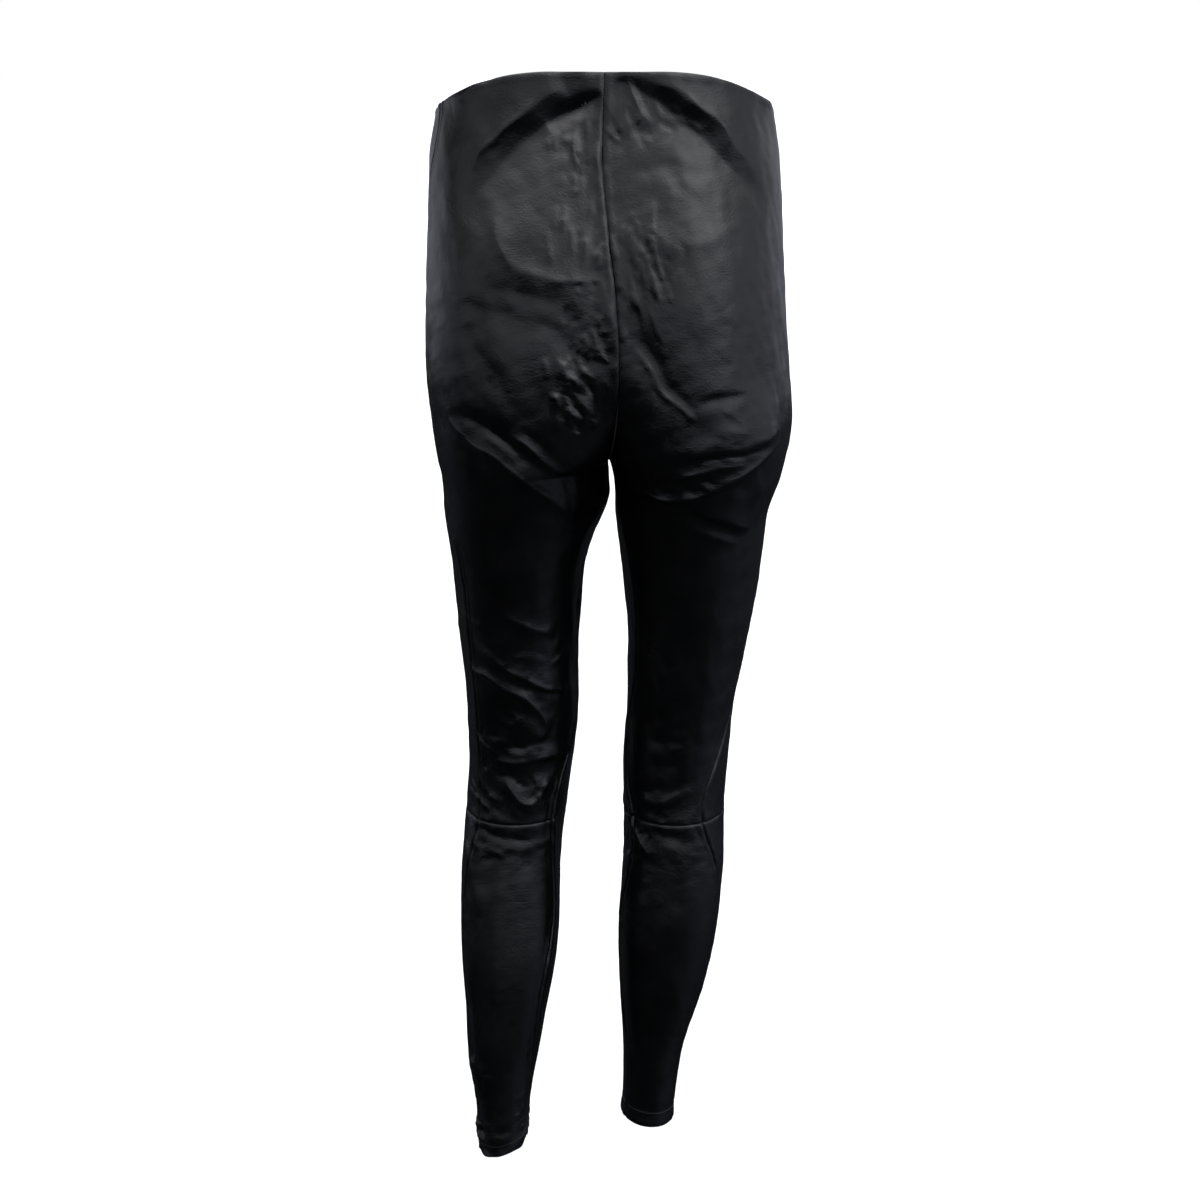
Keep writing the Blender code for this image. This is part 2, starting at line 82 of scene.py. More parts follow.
# Sections of each half: outer and inner are measured across from the middle of the body,
# shift moves the leg back, outseam and inseam turn the side seams towards the back.
Ring = namedtuple("Ring", "z outer inner shift outseam inseam")
LEFT_RINGS = table(
    Ring,
    (0.045, 0.1620, 0.0, 0.0, 14, 0),
    (0.000, 0.1665, 0.0, 0.0, 20, 0),
    (-0.045, 0.1734, 0.0, 0.0, 19, 0),
    (-0.095, 0.1757, 0.0, 0.0, 8, 0),
    (-0.150, 0.1772, 0.0, 0.0, 2, 0),
    (-0.205, 0.1798, 0.0, 0.0, 0, 0),
    (-0.265, 0.1784, 0.0, 0.0, 2, 0),
    (-0.310, 0.1742, 0.0, 0.0, 7, 0),
    (CROTCH_Z, 0.1700, CROTCH_X, 0.0, 14, 0),
    (-0.362, 0.1662, -0.0014, 0.0, 20, 6),
    (-0.380, 0.1652, -0.0016, 0.0, 24, 8),
    (-0.408, 0.1634, 0.0088, 0.0, 30, 10),
    (-0.440, 0.1590, 0.0200, 0.0, 35, 12),
    (-0.490, 0.1546, 0.0266, 0.0, 37, 14),
    (-0.550, 0.1494, 0.0296, 0.0, 38, 12),
    (-0.612, 0.1452, 0.0306, -0.001, 40, 12),
    (-0.665, 0.1450, 0.0360, -0.002, 43, 34),
    (KNEE_Z, 0.1480, 0.0428, -0.001, 44, 42),
    (-0.765, 0.1528, 0.0484, 0.002, 34, 32),
    (-0.820, 0.1542, 0.0500, 0.006, 24, 26),
    (-0.878, 0.1534, 0.0544, 0.011, 20, 36),
    (-0.930, 0.1496, 0.0640, 0.016, 20, 38),
    (-0.980, 0.1478, 0.0730, 0.021, 18, 28),
    (-1.035, 0.1398, 0.0826, 0.026, 20, 16),
    (-1.090, 0.1384, 0.0850, 0.030, 22, 14),
)
RIGHT_RINGS = table(
    Ring,
    (0.045, 0.1580, 0.0, 0.0, -8, 0),
    (0.000, 0.1612, 0.0, 0.0, -8, 0),
    (-0.045, 0.1666, 0.0, 0.0, -8, 0),
    (-0.095, 0.1700, 0.0, 0.0, -8, 0),
    (-0.150, 0.1726, 0.0, 0.0, -8, 0),
    (-0.205, 0.1762, 0.0, 0.0, -6, 0),
    (-0.255, 0.1804, 0.0, 0.0, -4, 0),
    (-0.292, 0.1836, 0.0, 0.0, -2, 0),
    (CROTCH_Z, 0.1774, -CROTCH_X, 0.0, 0, 0),
    (-0.362, 0.1722, 0.0058, 0.0, 0, 12),
    (-0.392, 0.1628, 0.0070, 0.0, 0, 24),
    (-0.425, 0.1586, 0.0102, 0.0, 0, 30),
    (-0.470, 0.1530, 0.0166, 0.0, 0, 32),
    (-0.520, 0.1456, 0.0202, 0.0, 2, 32),
    (-0.570, 0.1360, 0.0206, 0.0, 8, 28),
    (-0.617, 0.1288, 0.0194, 0.0, 24, 16),
    (-0.665, 0.1252, 0.0166, 0.0, 48, 18),
    (KNEE_Z, 0.1226, 0.0168, 0.0, 58, 33),
    (-0.765, 0.1222, 0.0170, 0.001, 36, 32),
    (-0.820, 0.1188, 0.0126, 0.0, 20, 16),
    (-0.880, 0.1096, 0.0119, -0.003, 16, 12),
    (-0.935, 0.0956, 0.0142, -0.005, 16, 20),
    (-0.985, 0.0808, 0.0170, -0.006, 16, 32),
    (-1.035, 0.0742, 0.0166, -0.007, 18, 34),
    (-1.080, 0.0690, 0.0150, -0.008, 18, 34),
)

# Side view, the same for both halves
Profile = namedtuple("Profile", "z back front middle apex dip fullness")
PROFILE = table(
    Profile,
    (0.045, 0.1060, -0.1085, 0.000, 0.30, 0.0000, 2.15),
    (0.000, 0.1120, -0.1135, 0.000, 0.31, 0.0005, 2.15),
    (-0.050, 0.1215, -0.1180, 0.001, 0.33, 0.0018, 2.15),
    (-0.100, 0.1340, -0.1200, 0.003, 0.35, 0.0036, 2.18),
    (-0.150, 0.1445, -0.1190, 0.005, 0.37, 0.0052, 2.20),
    (-0.200, 0.1492, -0.1150, 0.006, 0.39, 0.0064, 2.20),
    (-0.250, 0.1496, -0.1090, 0.007, 0.42, 0.0076, 2.18),
    (-0.300, 0.1452, -0.1020, 0.007, 0.46, 0.0080, 2.12),
    (CROTCH_Z, 0.1352, -0.0970, 0.007, 0.50, 0.0080, 2.06),
    (-0.380, 0.1182, -0.0930, 0.006, 0.50, 0.0, 2.04),
    (-0.430, 0.1022, -0.0900, 0.003, 0.50, 0.0, 2.02),
    (-0.500, 0.0850, -0.0865, 0.000, 0.50, 0.0, 2.00),
    (-0.580, 0.0715, -0.0815, -0.004, 0.50, 0.0, 2.00),
    (-0.660, 0.0620, -0.0750, -0.007, 0.50, 0.0, 2.00),
    (-0.720, 0.0585, -0.0680, -0.006, 0.50, 0.0, 2.00),
    (-0.780, 0.0592, -0.0595, -0.001, 0.50, 0.0, 2.00),
    (-0.850, 0.0608, -0.0485, 0.006, 0.50, 0.0, 2.00),
    (-0.920, 0.0568, -0.0420, 0.008, 0.50, 0.0, 2.00),
    (-0.990, 0.0495, -0.0385, 0.005, 0.50, 0.0, 2.00),
    (-1.040, 0.0450, -0.0385, 0.003, 0.50, 0.0, 2.00),
    (-1.090, 0.0420, -0.0410, 0.000, 0.50, 0.0, 2.00),
)

BackSeam = namedtuple("BackSeam", "z x")
BACK_SEAM = table(
    BackSeam,
    (0.045, 0.0030),
    (0.000, 0.0050),
    (-0.045, 0.0052),
    (-0.105, 0.0000),
    (-0.150, -0.0050),
    (-0.195, -0.0092),
    (-0.250, -0.0100),
    (-0.300, -0.0066),
    (CROTCH_Z, CROTCH_X),
)

# ---------------------------------------------------------------------------------------------
# Creases
# ---------------------------------------------------------------------------------------------
# Each runs through places given as (angle round the section, height in mm): 0 degrees is the
# outer side of the leg, 90 the back, 180 the inner side, and the front is negative.  height
# and width are in mm, and a trough has a negative height.  sharp is the crest's power: 2 is a
# bell, lower is crisper.  lean above 0 makes the lower side the steep one.
Crease = namedtuple("Crease", "places height width sharp lean")
LEFT_CREASES = crease_table(
    # Under the waist, the fold that runs from the centre to the hip
    (3.0, 14, 1.3, 0.4, (54, -52), (58, -38), (64, -26), (72, -11), (82, 4), (89, 16), (111, 23)),
    (1.1, 2.4, 1.2, 0.0, (54, -54), (58, -40), (64, -27), (72, -12), (78, 0), (83, 12), (87, 22)),
    (-6.3, 28, 1.3, -0.6, (50, -103), (57, -77), (64, -57), (70, -43), (78, -30), (86, -17),
     (101, -7), (130, 2), (158, 11), (180, 16)),
    (-4.0, 9, 1.6, -0.4, (89, -11), (112, -1), (142, 7), (180, 14)),
    (2.5, 24, 1.8, 0.0, (34, 6), (51, 19), (68, 28), (82, 32), (108, 34), (172, 35)),
    # Seat
    (2.2, 8, 1.25, 0.0, (70, -93), (70, -109), (74, -127), (79, -138), (87, -147), (107, -152),
     (138, -155), (164, -153)),
    (-2.2, 13, 1.9, -0.2, (64, -160), (73, -163), (84, -168), (104, -172), (124, -181),
     (138, -194), (146, -212)),
    (-2.6, 15, 1.9, -0.3, (50, -179), (64, -181), (78, -187), (88, -192), (110, -198), (130, -212),
     (144, -228)),
    (-1.8, 12, 1.8, -0.2, (56, -194), (60, -208), (66, -225), (74, -243), (84, -259)),
    (-1.6, 8, 1.8, 0.0, (44, -281), (54, -284), (68, -289), (80, -299), (92, -308)),
    # Short upright wrinkles beside the centre seam
    (1.5, 2.4, 1.2, 0.0, (138, -1), (130, -15), (128, -28), (132, -40), (145, -50)),
    (-1.2, 4.0, 1.7, 0.0, (146, -9), (142, -22), (143, -35)),
    (1.2, 2.4, 1.2, 0.0, (156, -11), (152, -24), (153, -35)),
    (1.0, 2.2, 1.3, 0.0, (106, -16), (100, -25), (103, -36)),
    (0.9, 2.2, 1.3, 0.0, (92, -21), (91, -27), (94, -33)),
    (1.2, 2.6, 1.3, 0.0, (171, -26), (168, -40), (174, -58)),
    (1.2, 2.4, 1.2, 0.0, (131, -105), (132, -117), (132, -128)),
    (-0.8, 3.5, 1.7, 0.0, (139, -108), (140, -117), (140, -126)),
    (0.9, 2.4, 1.3, 0.0, (148, -112), (149, -119), (148, -126)),
    (1.2, 2.4, 1.2, 0.0, (158, -136), (165, -126), (175, -119)),
    (1.6, 4.5, 1.4, 0.0, (168, -148), (168, -170), (170, -193), (173, -217)),
    (1.2, 2.4, 1.25, 0.0, (142, -175), (144, -188), (142, -202)),
    (1.2, 2.4, 1.25, 0.0, (150, -198), (156, -207), (154, -218)),
    (-1.2, 3.4, 1.6, 0.0, (155, -161), (155, -179), (158, -198)),
    (1.3, 2.2, 1.25, 0.0, (165, -198), (168, -207), (172, -219)),
    (1.2, 2.2, 1.25, 0.0, (160, -212), (164, -221), (170, -228)),
    # Crumpled part low on the seat
    (1.4, 2.6, 1.2, 0.0, (100, -225), (105, -233), (107, -243)),
    (1.5, 2.6, 1.2, 0.0, (120, -226), (124, -237), (126, -250), (131, -245), (134, -235)),
    (1.3, 2.4, 1.2, 0.0, (140, -231), (144, -239), (153, -246)),
    (-1.5, 4.0, 1.6, 0.0, (128, -255), (129, -266), (130, -277)),
    (1.4, 2.4, 1.2, 0.0, (124, -261), (126, -273), (130, -284)),
    (1.3, 2.4, 1.2, 0.0, (135, -264), (137, -275), (136, -287)),
    (-1.3, 3.6, 1.6, 0.0, (148, -249), (147, -264), (146, -278)),
    (1.5, 2.8, 1.2, 0.0, (162, -245), (168, -255), (164, -268), (156, -284)),
    (1.2, 2.4, 1.2, 0.0, (152, -269), (149, -282), (144, -294)),
    # Under the seat
    (1.9, 3.4, 1.15, 0.2, (42, -288), (54, -302), (68, -314), (82, -329), (93, -342), (100, -352)),
    (2.6, 5.2, 1.15, 0.45, (81, -326), (88, -335), (96, -347), (107, -361), (116, -375),
     (128, -393)),
    (-1.9, 5.0, 1.8, -0.3, (54, -285), (68, -289), (84, -308), (100, -326), (119, -345),
     (130, -367)),
    (2.2, 4.4, 1.15, 0.5, (82, -296), (89, -302), (98, -313), (108, -326), (120, -341)),
    (-1.2, 5.0, 1.8, -0.3, (88, -292), (99, -302), (110, -316), (122, -332)),
    (1.5, 2.6, 1.2, 0.3, (132, -332), (144, -347), (156, -358), (166, -366)),
    (1.0, 3.0, 1.3, 0.2, (124, -315), (136, -325), (149, -336)),
    (-1.2, 8.0, 1.8, 0.0, (76, -338), (92, -354), (106, -375), (121, -400)),
    # Thigh and back of the knee
    (1.3, 3.0, 1.2, 0.3, (20, -494), (32, -498), (46, -502), (61, -505)),
    (2.2, 6.0, 1.1, 0.5, (76, -488), (84, -492), (96, -498), (112, -506), (128, -516)),
    (3.6, 6.2, 1.1, 0.7, (45, -516), (53, -527), (64, -535), (84, -547), (101, -558), (119, -568),
     (136, -575), (164, -584)),
    (3.2, 5.6, 1.1, 0.7, (21, -543), (40, -552), (52, -558), (72, -565), (90, -575), (103, -587),
     (113, -601), (121, -616)),
    (1.2, 3.0, 1.3, 0.0, (121, -545), (132, -539), (141, -534), (146, -526)),
    (2.4, 8.0, 1.3, 0.3, (78, -594), (90, -605), (102, -616), (117, -625)),
    (1.6, 4.0, 1.2, 0.2, (22, -606), (30, -620), (44, -630), (56, -637), (68, -641)),
    (1.6, 7.0, 1.5, 0.2, (45, -623), (65, -626), (84, -628)),
    (2.8, 5.6, 1.1, 0.6, (56, -649), (82, -649), (101, -647), (121, -645), (140, -642),
     (174, -644)),
    (-1.2, 6.0, 1.8, -0.3, (74, -632), (95, -629), (116, -627), (142, -625)),
    (-1.4, 7.0, 1.8, -0.3, (57, -662), (80, -662), (102, -661), (122, -657), (142, -656)),
    (2.4, 4.5, 1.15, 0.2, (75, -663), (80, -674), (86, -686), (96, -694), (108, -695), (116, -688),
     (120, -677), (124, -664)),
    (-1.4, 6.0, 1.8, 0.0, (86, -669), (98, -674), (109, -669)),
    (1.6, 3.4, 1.2, 0.3, (8, -693), (32, -694), (48, -698), (62, -704)),
    # Under the knee
    (0.5, 5.0, 1.4, 0.3, (33, -744), (57, -744), (80, -744), (100, -744), (118, -742),
     (134, -738)),
    (-1.3, 5.0, 1.8, 0.0, (44, -724), (70, -729), (98, -732), (124, -729)),
    (0.8, 5.0, 1.8, 0.0, (24, -744), (30, -760), (34, -778)),
    # Calf and ankle
    (1.3, 6.0, 1.8, 0.0, (30, -872), (33, -900), (40, -930), (42, -954)),
    (-1.8, 8.0, 1.8, 0.0, (8, -958), (24, -966), (42, -974), (60, -984)),
    (1.3, 6.0, 1.8, 0.0, (14, -974), (28, -986), (38, -1004), (40, -1022)),
    (0.9, 5.0, 1.8, 0.0, (136, -1000), (140, -1020), (144, -1044)),
    # Front: lap
    (-2.6, 11, 1.8, 0.0, (-166, -246), (-133, -260), (-104, -262), (-82, -254), (-62, -234)),
    (4.0, 9.5, 1.7, 0.3, (-159, -292), (-127, -299), (-101, -296), (-77, -284), (-49, -262)),
    (-3.4, 8.0, 1.8, 0.0, (-142, -316), (-118, -324), (-96, -322), (-74, -311), (-44, -290)),
    (3.4, 9.0, 1.7, 0.3, (-140, -346), (-118, -351), (-100, -350), (-80, -341), (-58, -326)),
    (-1.6, 8.0, 1.8, 0.0, (-150, -372), (-126, -378), (-100, -374), (-78, -362)),
    (-1.3, 6.0, 1.8, 0.0, (-156, -274), (-130, -280), (-108, -276)),
    (1.4, 7.0, 1.8, 0.0, (-40, -236), (-30, -258), (-22, -280), (-8, -296)),
    # Front: thigh and knee
    (1.5, 8.0, 1.8, 0.2, (-130, -520), (-108, -528), (-84, -524), (-60, -512)),
    (3.0, 9.0, 1.7, 0.3, (-146, -604), (-116, -618), (-92, -622), (-67, -616), (-34, -600)),
    (-1.6, 7.0, 1.8, 0.0, (-140, -628), (-114, -640), (-88, -643), (-60, -634)),
    (-2.6, 8.0, 1.8, 0.0, (-146, -652), (-112, -662), (-86, -664), (-59, -656), (-18, -640)),
    (1.7, 7.0, 1.8, 0.2, (-150, -676), (-124, -684), (-96, -686), (-66, -678)),
    (3.2, 9.0, 1.7, 0.2, (-160, -772), (-120, -785), (-94, -788), (-68, -781), (-34, -764)),
    (-1.5, 8.0, 1.8, 0.0, (-150, -800), (-118, -810), (-90, -812), (-62, -802)),
    (-1.2, 6.0, 1.8, 0.0, (-140, -750), (-112, -758), (-84, -758)),
    (1.5, 7.0, 1.8, 0.2, (-130, -985), (-104, -996), (-76, -994), (-50, -980)),
    (1.7, 7.0, 1.8, 0.2, (-140, -1012), (-110, -1022), (-80, -1020), (-54, -1008)),
    (-1.2, 6.0, 1.8, 0.0, (-134, -1000), (-106, -1009), (-78, -1007)),
)
RIGHT_CREASES = crease_table(
    # Under the waist
    (3.0, 13, 1.3, 0.4, (123, 29), (98, 26), (86, 21), (77, 11), (70, -1), (61, -18), (53, -36),
     (46, -52), (38, -72)),
    (1.1, 2.4, 1.2, 0.0, (99, 26), (84, 21), (76, 13), (70, 0), (62, -15), (56, -29)),
    (-6.0, 24, 1.3, -0.6, (168, 28), (139, 21), (112, 13), (90, 5), (84, -5), (76, -17), (70, -30),
     (62, -45), (54, -60), (44, -76), (34, -89)),
    (1.5, 2.6, 1.2, 0.0, (142, 30), (140, 20), (133, 8), (120, -2), (108, -11)),
    (-1.0, 3.4, 1.7, 0.0, (132, 27), (126, 14), (115, 3)),
    (0.9, 2.6, 1.3, 0.0, (105, 12), (100, 5), (94, -6)),
    (-1.4, 9.0, 1.9, 0.0, (166, -18), (158, -24), (144, -27)),
    (-1.4, 8.0, 1.9, 0.0, (130, -7), (122, -16), (109, -24)),
    # Seat
    (-1.0, 8.0, 1.8, -0.2, (146, -58), (122, -51), (98, -48), (83, -51), (72, -58)),
    (0.9, 9.0, 1.7, 0.2, (63, -100), (68, -112), (76, -118), (85, -121), (100, -122), (122, -124)),
    (1.2, 2.3, 1.2, 0.0, (148, -121), (148, -135), (151, -148)),
    (1.2, 2.3, 1.2, 0.0, (140, -135), (138, -152), (136, -168)),
    (1.2, 2.3, 1.2, 0.0, (114, -114), (116, -126), (114, -141), (112, -159)),
    (1.0, 2.3, 1.25, 0.0, (128, -144), (124, -159), (119, -173)),
    (1.0, 2.2, 1.25, 0.0, (158, -130), (158, -146), (158, -163)),
    (1.1, 2.4, 1.25, 0.0, (150, -166), (146, -183), (142, -201)),
    (-0.8, 4.0, 1.7, 0.0, (143, -130), (144, -148), (144, -166)),
    (-0.8, 4.0, 1.7, 0.0, (108, -135), (105, -151), (104, -168)),
    (0.9, 2.2, 1.3, 0.0, (101, -132), (97, -146), (95, -161)),
    (0.9, 2.2, 1.3, 0.0, (166, -136), (168, -152), (168, -170)),
    (0.9, 2.4, 1.3, 0.0, (132, -177), (126, -194), (120, -210)),
    (-2.4, 9.0, 1.8, -0.3, (154, -170), (152, -193), (144, -215), (130, -235), (114, -251),
     (102, -264), (90, -275)),
    (1.7, 3.2, 1.2, 0.0, (157, -217), (140, -235), (124, -252), (108, -267), (97, -276),
     (89, -282)),
    (-1.4, 4.5, 1.8, -0.2, (88, -267), (79, -264), (70, -262), (61, -261)),
    (8.0, 28, 1.25, 0.6, (150, -316), (125, -319), (104, -317), (86, -313), (70, -310), (50, -304),
     (36, -299)),
    # Under the seat
    (-2.0, 4.0, 1.6, 0.0, (132, -329), (116, -327), (97, -323), (85, -320), (67, -317),
     (43, -313)),
    (1.2, 2.4, 1.2, 0.2, (162, -326), (140, -326), (121, -324)),
    (3.8, 4.6, 1.15, 0.4, (154, -356), (133, -350), (116, -342), (104, -337), (91, -333),
     (78, -330), (64, -327)),
    (6.5, 7.5, 1.1, 0.45, (156, -353), (134, -358), (118, -363), (104, -363), (92, -359),
     (82, -350), (71, -341), (59, -331), (46, -321), (34, -315)),
    (7.0, 15, 1.15, 0.6, (104, -364), (86, -375), (75, -381), (60, -390), (45, -398)),
    (-1.8, 8.0, 1.8, -0.2, (125, -368), (104, -372), (84, -385), (66, -400), (52, -409)),
    (3.2, 9.0, 1.3, 0.4, (101, -394), (86, -399), (72, -405), (56, -414)),
    (1.0, 6.0, 1.8, 0.0, (60, -336), (49, -350), (42, -368)),
    (1.2, 3.6, 1.3, 0.0, (148, -351), (161, -359), (173, -366)),
    # Back of the knee
    (-0.5, 8.0, 1.8, 0.0, (144, -625), (112, -624), (86, -623), (53, -627)),
    (1.3, 7.0, 1.3, 0.4, (155, -686), (143, -693), (122, -696), (104, -694), (86, -688),
     (73, -680)),
    (1.2, 3.0, 1.2, 0.2, (156, -715), (144, -728), (131, -742), (118, -754)),
    (-1.2, 5.0, 1.8, -0.3, (120, -724), (98, -728), (80, -726)),
    (-0.9, 7.0, 1.8, 0.0, (124, -650), (106, -654), (88, -650)),
    (1.7, 3.0, 1.25, 0.1, (178, -700), (168, -709), (158, -718), (148, -728), (138, -740)),
    (1.0, 5.5, 1.8, 0.0, (146, -734), (134, -741), (118, -752)),
    (1.2, 3.6, 1.7, 0.0, (176, -758), (165, -768), (152, -780)),
    (0.8, 4.0, 1.8, 0.0, (178, -822), (168, -834), (158, -846)),
    (-0.9, 6.0, 1.8, 0.0, (60, -728), (84, -734), (110, -733)),
    # Calf and ankle
    (1.1, 7.0, 1.8, 0.0, (92, -858), (86, -876), (76, -902), (62, -930), (54, -956)),
    (0.9, 6.0, 1.8, 0.0, (44, -986), (58, -1000), (76, -1010)),
    (0.8, 5.0, 1.8, 0.0, (152, -980), (146, -996), (136, -1012)),
    # Front: lap
    (-2.4, 11, 1.8, 0.0, (-165, -258), (-128, -268), (-98, -268), (-76, -258), (-53, -238)),
    (3.6, 9.5, 1.7, 0.3, (-160, -302), (-123, -304), (-96, -300), (-74, -289), (-45, -272)),
    (-3.0, 8.0, 1.8, 0.0, (-142, -330), (-117, -333), (-95, -330), (-74, -321), (-50, -306)),
    (2.2, 8.0, 1.8, 0.3, (-146, -356), (-122, -362), (-98, -358), (-76, -348)),
    (-1.3, 6.0, 1.8, 0.0, (-152, -282), (-128, -288), (-106, -284)),
    (1.4, 7.0, 1.8, 0.0, (-42, -250), (-30, -272), (-20, -290), (-6, -302)),
    # Front: thigh and knee
    (1.3, 8.0, 1.8, 0.2, (-134, -560), (-110, -568), (-86, -564), (-62, -552)),
    (2.0, 8.0, 1.8, 0.2, (-140, -640), (-114, -650), (-90, -652), (-64, -644)),
    (-1.6, 7.0, 1.8, 0.0, (-146, -664), (-118, -674), (-92, -676), (-62, -668)),
    (2.6, 9.0, 1.7, 0.2, (-146, -764), (-116, -774), (-91, -776), (-68, -771), (-36, -758)),
    (-1.4, 8.0, 1.8, 0.0, (-140, -786), (-114, -796), (-88, -797), (-62, -788)),
    (1.3, 7.0, 1.8, 0.2, (-130, -966), (-104, -976), (-76, -974), (-52, -962)),
    (1.5, 7.0, 1.8, 0.2, (-140, -990), (-110, -1001), (-80, -999), (-56, -988)),
)
MM = 0.001
TO_MM = 1000.0
CREASE_STEPS = 7         # points laid between two places
PASSES_PER_MM = 2.0      # a crease's path is smoothed this often for each mm of its width
CREASE_SEED = 500
BELL_SHARP = 1.65        # above this power a crease is a bell, which reaches less far
BELL_REACH = 2.6         # reach of a bell and of a crisp crease, in widths
CRISP_REACH = 3.2
FADE_POWER = 3.2
END_WIDTH = 0.72         # share of the width that is left at the ends
WIDE_FROM = 0.004        # wider creases have a rounder crest
WIDE_CREST = 0.0007
NARROW_CREST = 0.0004
SWELL = 0.00010          # how much a crease swells and sinks along its run
SWELL_MOST = 0.10        # most of its height that it may swell
SWELL_RUN = 0.034        # length of a swell, and the share of the shorter one on it
SWELL_SECOND = 0.3
DRIFT = 0.0009           # how far the creases wander off their paths
DRIFT_SIZE = 0.045
DRIFT_SEEDS = (101, 102, 103)
SHARED_Z = CROTCH_Z - 0.01       # creases run on into the other half above this height
CALF_SMOOTH = 0.7        # share of the soft swell that the calves lose
CALF_SMOOTH_Z = -0.775
CALF_SMOOTH_OVER = 0.05

# How the small wrinkles of a patch differ: in slope, bow, length, height and width
SLOPE_SPREAD = 13.0
BOW_SPREAD = 0.22
RUN_RANGE = (0.6, 1.5)
HEIGHT_RANGE = (0.45, 1.25)
WIDTH_RANGE = (0.8, 1.4)
RIDGE_SHARE = 0.6        # the others are troughs
BOW_PLACES = (-0.4, 0.5)         # shares of the half run where a wrinkle bows out
PROBE = 2.0              # degrees to either side that a degree's width is measured on
WRINKLE_SHARP = 1.8

# Patches of small wrinkles: a centre, the patch's half size across and down in mm, how many,
# the slope of their run in degrees, their length, height and width in mm, and a seed.
Patch = namedtuple("Patch", "angle z across down count slope length height width seed")
LEFT_PATCHES = table(
    Patch,
    (135, -40, 30, 30, 18, 84, 15, 0.60, 2.4, 3),
    (138, -120, 34, 34, 18, 84, 17, 0.55, 2.6, 4),
    (150, -190, 24, 34, 22, 88, 14, 0.80, 2.4, 5),
    (135, -260, 30, 34, 36, 96, 15, 1.10, 2.5, 6),
    (96, -226, 34, 30, 6, 120, 20, 0.30, 4.5, 7),
    (84, -120, 50, 36, 8, 60, 22, 0.22, 4.5, 8),
    (100, -345, 46, 26, 16, 145, 20, 0.45, 3.5, 9),
    (60, -310, 30, 30, 10, 140, 20, 0.40, 3.5, 10),
    (90, -520, 46, 30, 14, 160, 22, 0.45, 3.5, 11),
    (90, -575, 50, 30, 16, 155, 20, 0.50, 3.5, 12),
    (95, -630, 50, 26, 18, 175, 18, 0.50, 3.2, 13),
    (96, -680, 46, 26, 20, 150, 15, 0.55, 3.0, 14),
    (96, -742, 44, 22, 16, 172, 16, 0.45, 3.0, 15),
    (40, -690, 26, 40, 10, 140, 16, 0.50, 3.2, 16),
    (28, -1000, 26, 50, 26, 60, 14, 0.65, 3.4, 17),
    (150, -1010, 20, 50, 14, 100, 14, 0.50, 3.2, 18),
    (20, -1058, 26, 18, 16, 20, 10, 0.80, 3.2, 19),
    (-20, -1050, 30, 24, 14, 150, 14, 0.60, 3.4, 20),
    (-95, -1020, 40, 40, 18, 175, 18, 0.50, 3.4, 21),
    (-95, -310, 60, 46, 24, 12, 24, 0.50, 3.8, 22),
    (-150, -300, 30, 50, 14, 40, 18, 0.50, 3.4, 23),
    (-90, -640, 50, 40, 22, 176, 20, 0.50, 3.4, 24),
    (-90, -790, 46, 36, 20, 172, 20, 0.50, 3.4, 25),
    (0, -560, 40, 60, 16, 160, 20, 0.40, 3.6, 26),
)
RIGHT_PATCHES = table(
    Patch,
    (132, -8, 34, 22, 16, 60, 14, 0.65, 2.5, 33),
    (140, -135, 36, 46, 34, 86, 20, 0.75, 2.5, 34),
    (90, -90, 60, 40, 16, 70, 20, 0.30, 4.0, 35),
    (90, -200, 60, 50, 18, 110, 24, 0.34, 4.2, 36),
    (146, -230, 24, 40, 14, 84, 18, 0.40, 3.0, 37),
    (90, -345, 50, 22, 18, 14, 20, 0.50, 3.2, 38),
    (70, -300, 46, 24, 14, 12, 20, 0.45, 3.6, 39),
    (95, -640, 46, 30, 14, 178, 18, 0.35, 3.6, 40),
    (110, -695, 44, 20, 16, 165, 16, 0.42, 3.2, 41),
    (150, -745, 26, 36, 16, 140, 14, 0.60, 3.0, 42),
    (88, -745, 40, 20, 12, 178, 16, 0.35, 3.2, 43),
    (60, -1000, 30, 40, 14, 40, 12, 0.40, 3.2, 44),
    (150, -1000, 22, 40, 16, 60, 12, 0.50, 3.0, 45),
    (-95, -980, 40, 40, 16, 172, 18, 0.45, 3.4, 46),
    (-95, -315, 60, 46, 24, 168, 24, 0.50, 3.8, 47),
    (-150, -305, 30, 50, 14, 140, 18, 0.50, 3.4, 48),
    (-90, -655, 50, 40, 18, 176, 20, 0.45, 3.4, 49),
    (-90, -780, 46, 36, 18, 174, 20, 0.45, 3.4, 50),
    (10, -330, 30, 50, 12, 140, 20, 0.45, 3.8, 51),
)

Hem = namedtuple("Hem", "outer_z inner_z")
Half = namedtuple("Half", "name sign rings hem creases patches")
LEFT = Half("left", 1, LEFT_RINGS, Hem(-1.086, -1.074), LEFT_CREASES, LEFT_PATCHES)
RIGHT = Half("right", -1, RIGHT_RINGS, Hem(-1.068, -1.061), RIGHT_CREASES, RIGHT_PATCHES)

